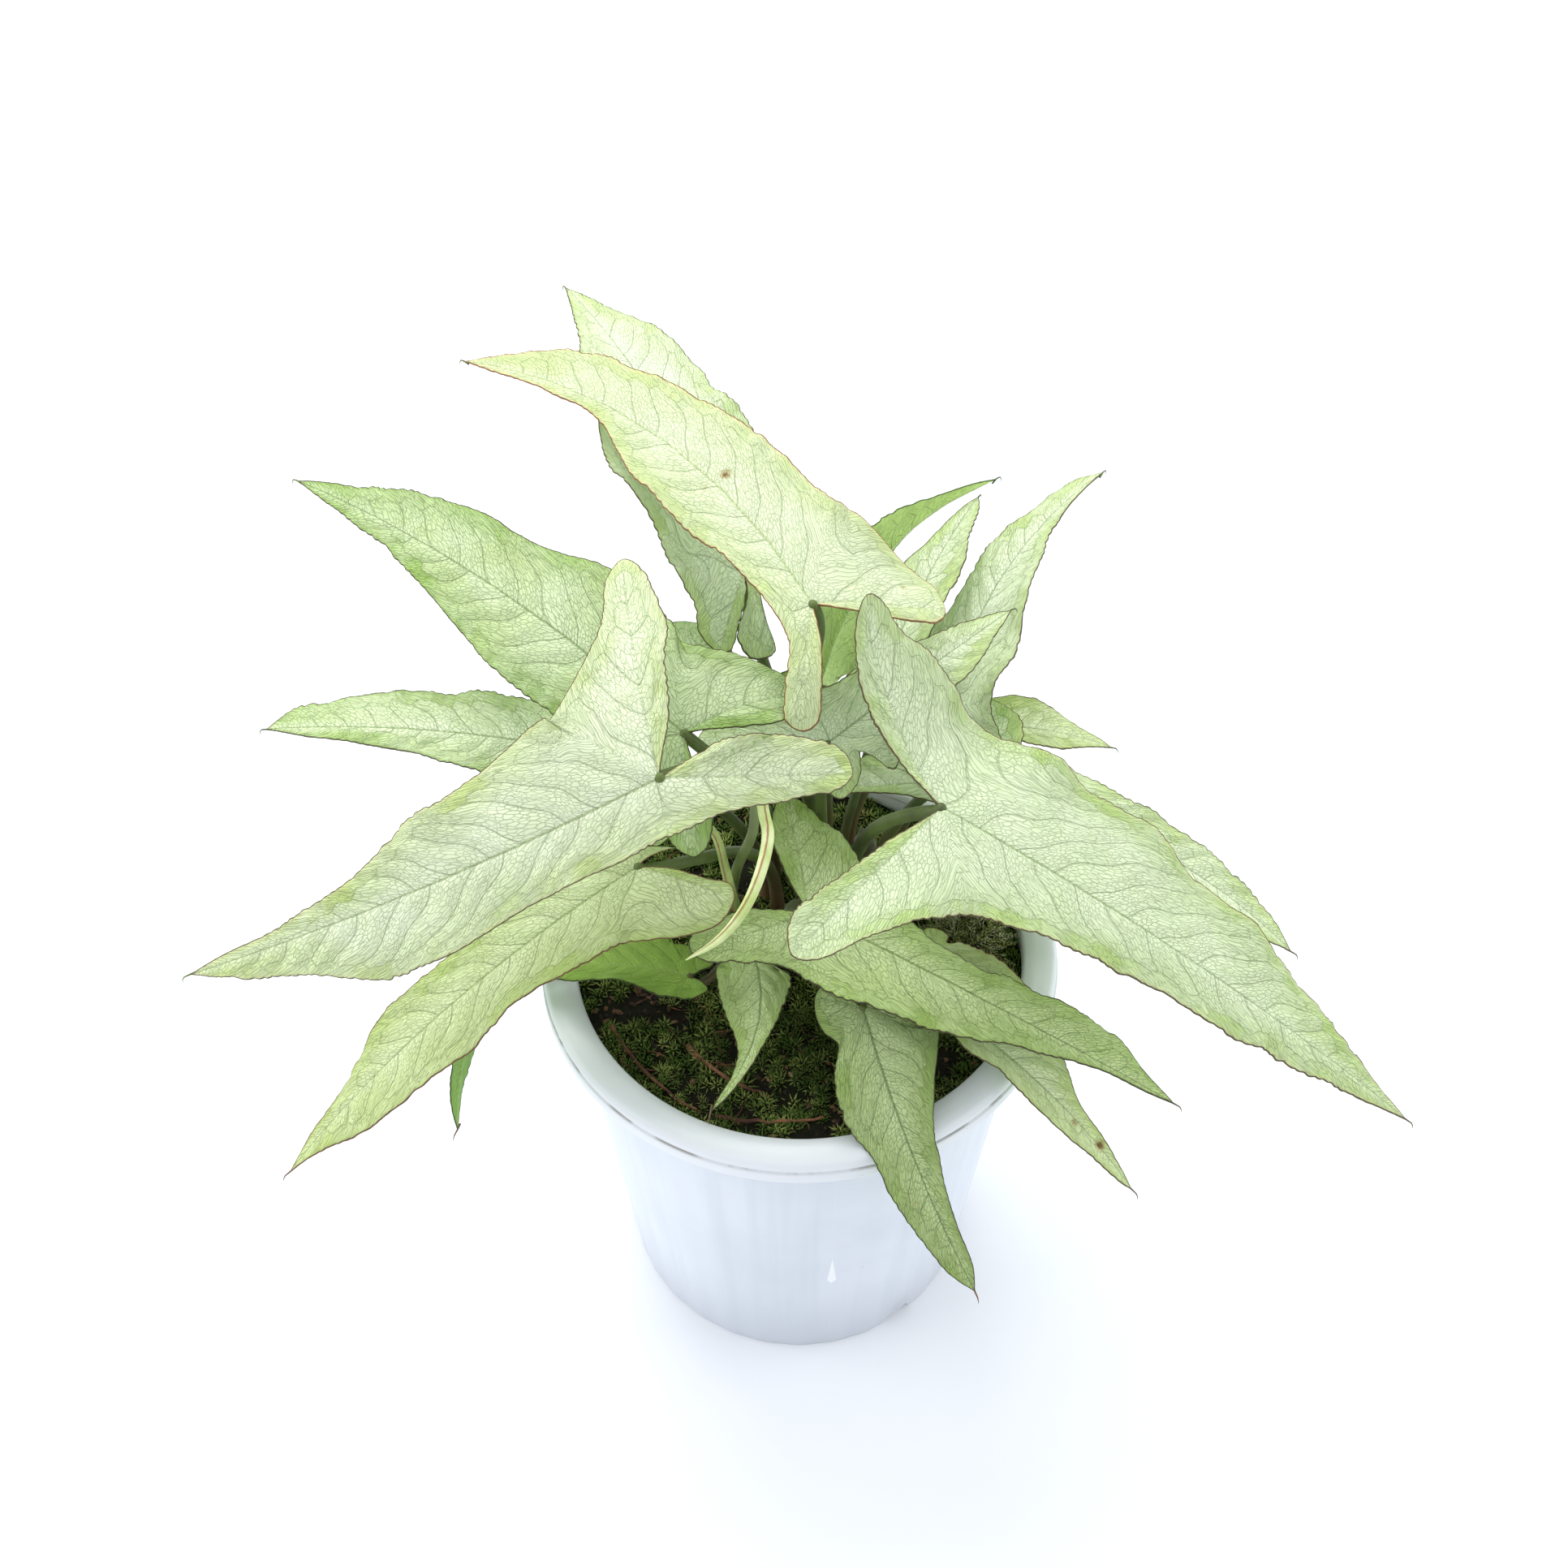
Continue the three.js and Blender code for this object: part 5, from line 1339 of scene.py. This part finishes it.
# ---------------------------------------------------------------- studio
# Name, place in metres, size and power of each lamp.
LAMPS = (
    ("lamp_back", (-0.2, 0.6, 1.1), 0.8, 8.6),
    ("lamp_left", (-1.0, -0.1, 0.6), 0.8, 4.6),
    ("lamp_right", (1.0, 0.05, 0.5), 0.8, 3.6),
)
LAMP_AIM = Vector((0, 0, 0.15))
SKY, SKY_STRENGTH = (0.93, 0.96, 1.0, 1.0), 0.84
FLOOR_REACH = 12000
SENSOR = 36.0
FOCAL_LENGTH = 3000 / 1932      # in widths of the sensor
CAMERA_AT = (-0.0042, -0.3899, 0.6665)
CAMERA_TILT = 40                # degrees up from straight down


def studio():
    world = bpy.data.worlds.new("studio")
    bpy.context.scene.world = world
    world.use_nodes = True
    sky = world.node_tree.nodes["Background"]
    sky.inputs["Color"].default_value = SKY
    sky.inputs["Strength"].default_value = SKY_STRENGTH
    for name, place, size, power in LAMPS:
        data = bpy.data.lights.new(name, "AREA")
        data.size = size
        data.energy = power
        lamp = bpy.data.objects.new(name, data)
        lamp.location = place
        lamp.rotation_euler = (LAMP_AIM - Vector(place)).to_track_quat("-Z", "Y").to_euler()
        bpy.context.collection.objects.link(lamp)


def floor():
    corners = [(x * FLOOR_REACH, y * FLOOR_REACH, 0) for x, y in ((-1, -1), (1, -1), (1, 1), (-1, 1))]
    mesh = plain_mesh("floor", corners, (), [(0, 1, 2, 3)])
    graph = finish("floor_pale", Roughness=0.9, Specular_IOR_Level=0.1)
    look = graph.mix(graph.noise(graph.place, 3.0, 2.0), "f4f6fb", "f8f9fc")
    graph.feed(graph.shader.inputs["Base Color"], look)
    mesh.materials.append(graph.material)
    plane = bpy.data.objects.new("floor", mesh)
    bpy.context.collection.objects.link(plane)


def camera():
    data = bpy.data.cameras.new("camera")
    data.sensor_width = SENSOR
    data.lens = FOCAL_LENGTH * SENSOR
    data.clip_start = 0.01
    view = bpy.data.objects.new("camera", data)
    view.location = CAMERA_AT
    view.rotation_euler = (math.radians(CAMERA_TILT), 0, 0)
    bpy.context.collection.objects.link(view)
    bpy.context.scene.camera = view


floor()
studio()
camera()
bpy.context.scene.view_settings.view_transform = "Standard"

bpy.context.view_layer.update()
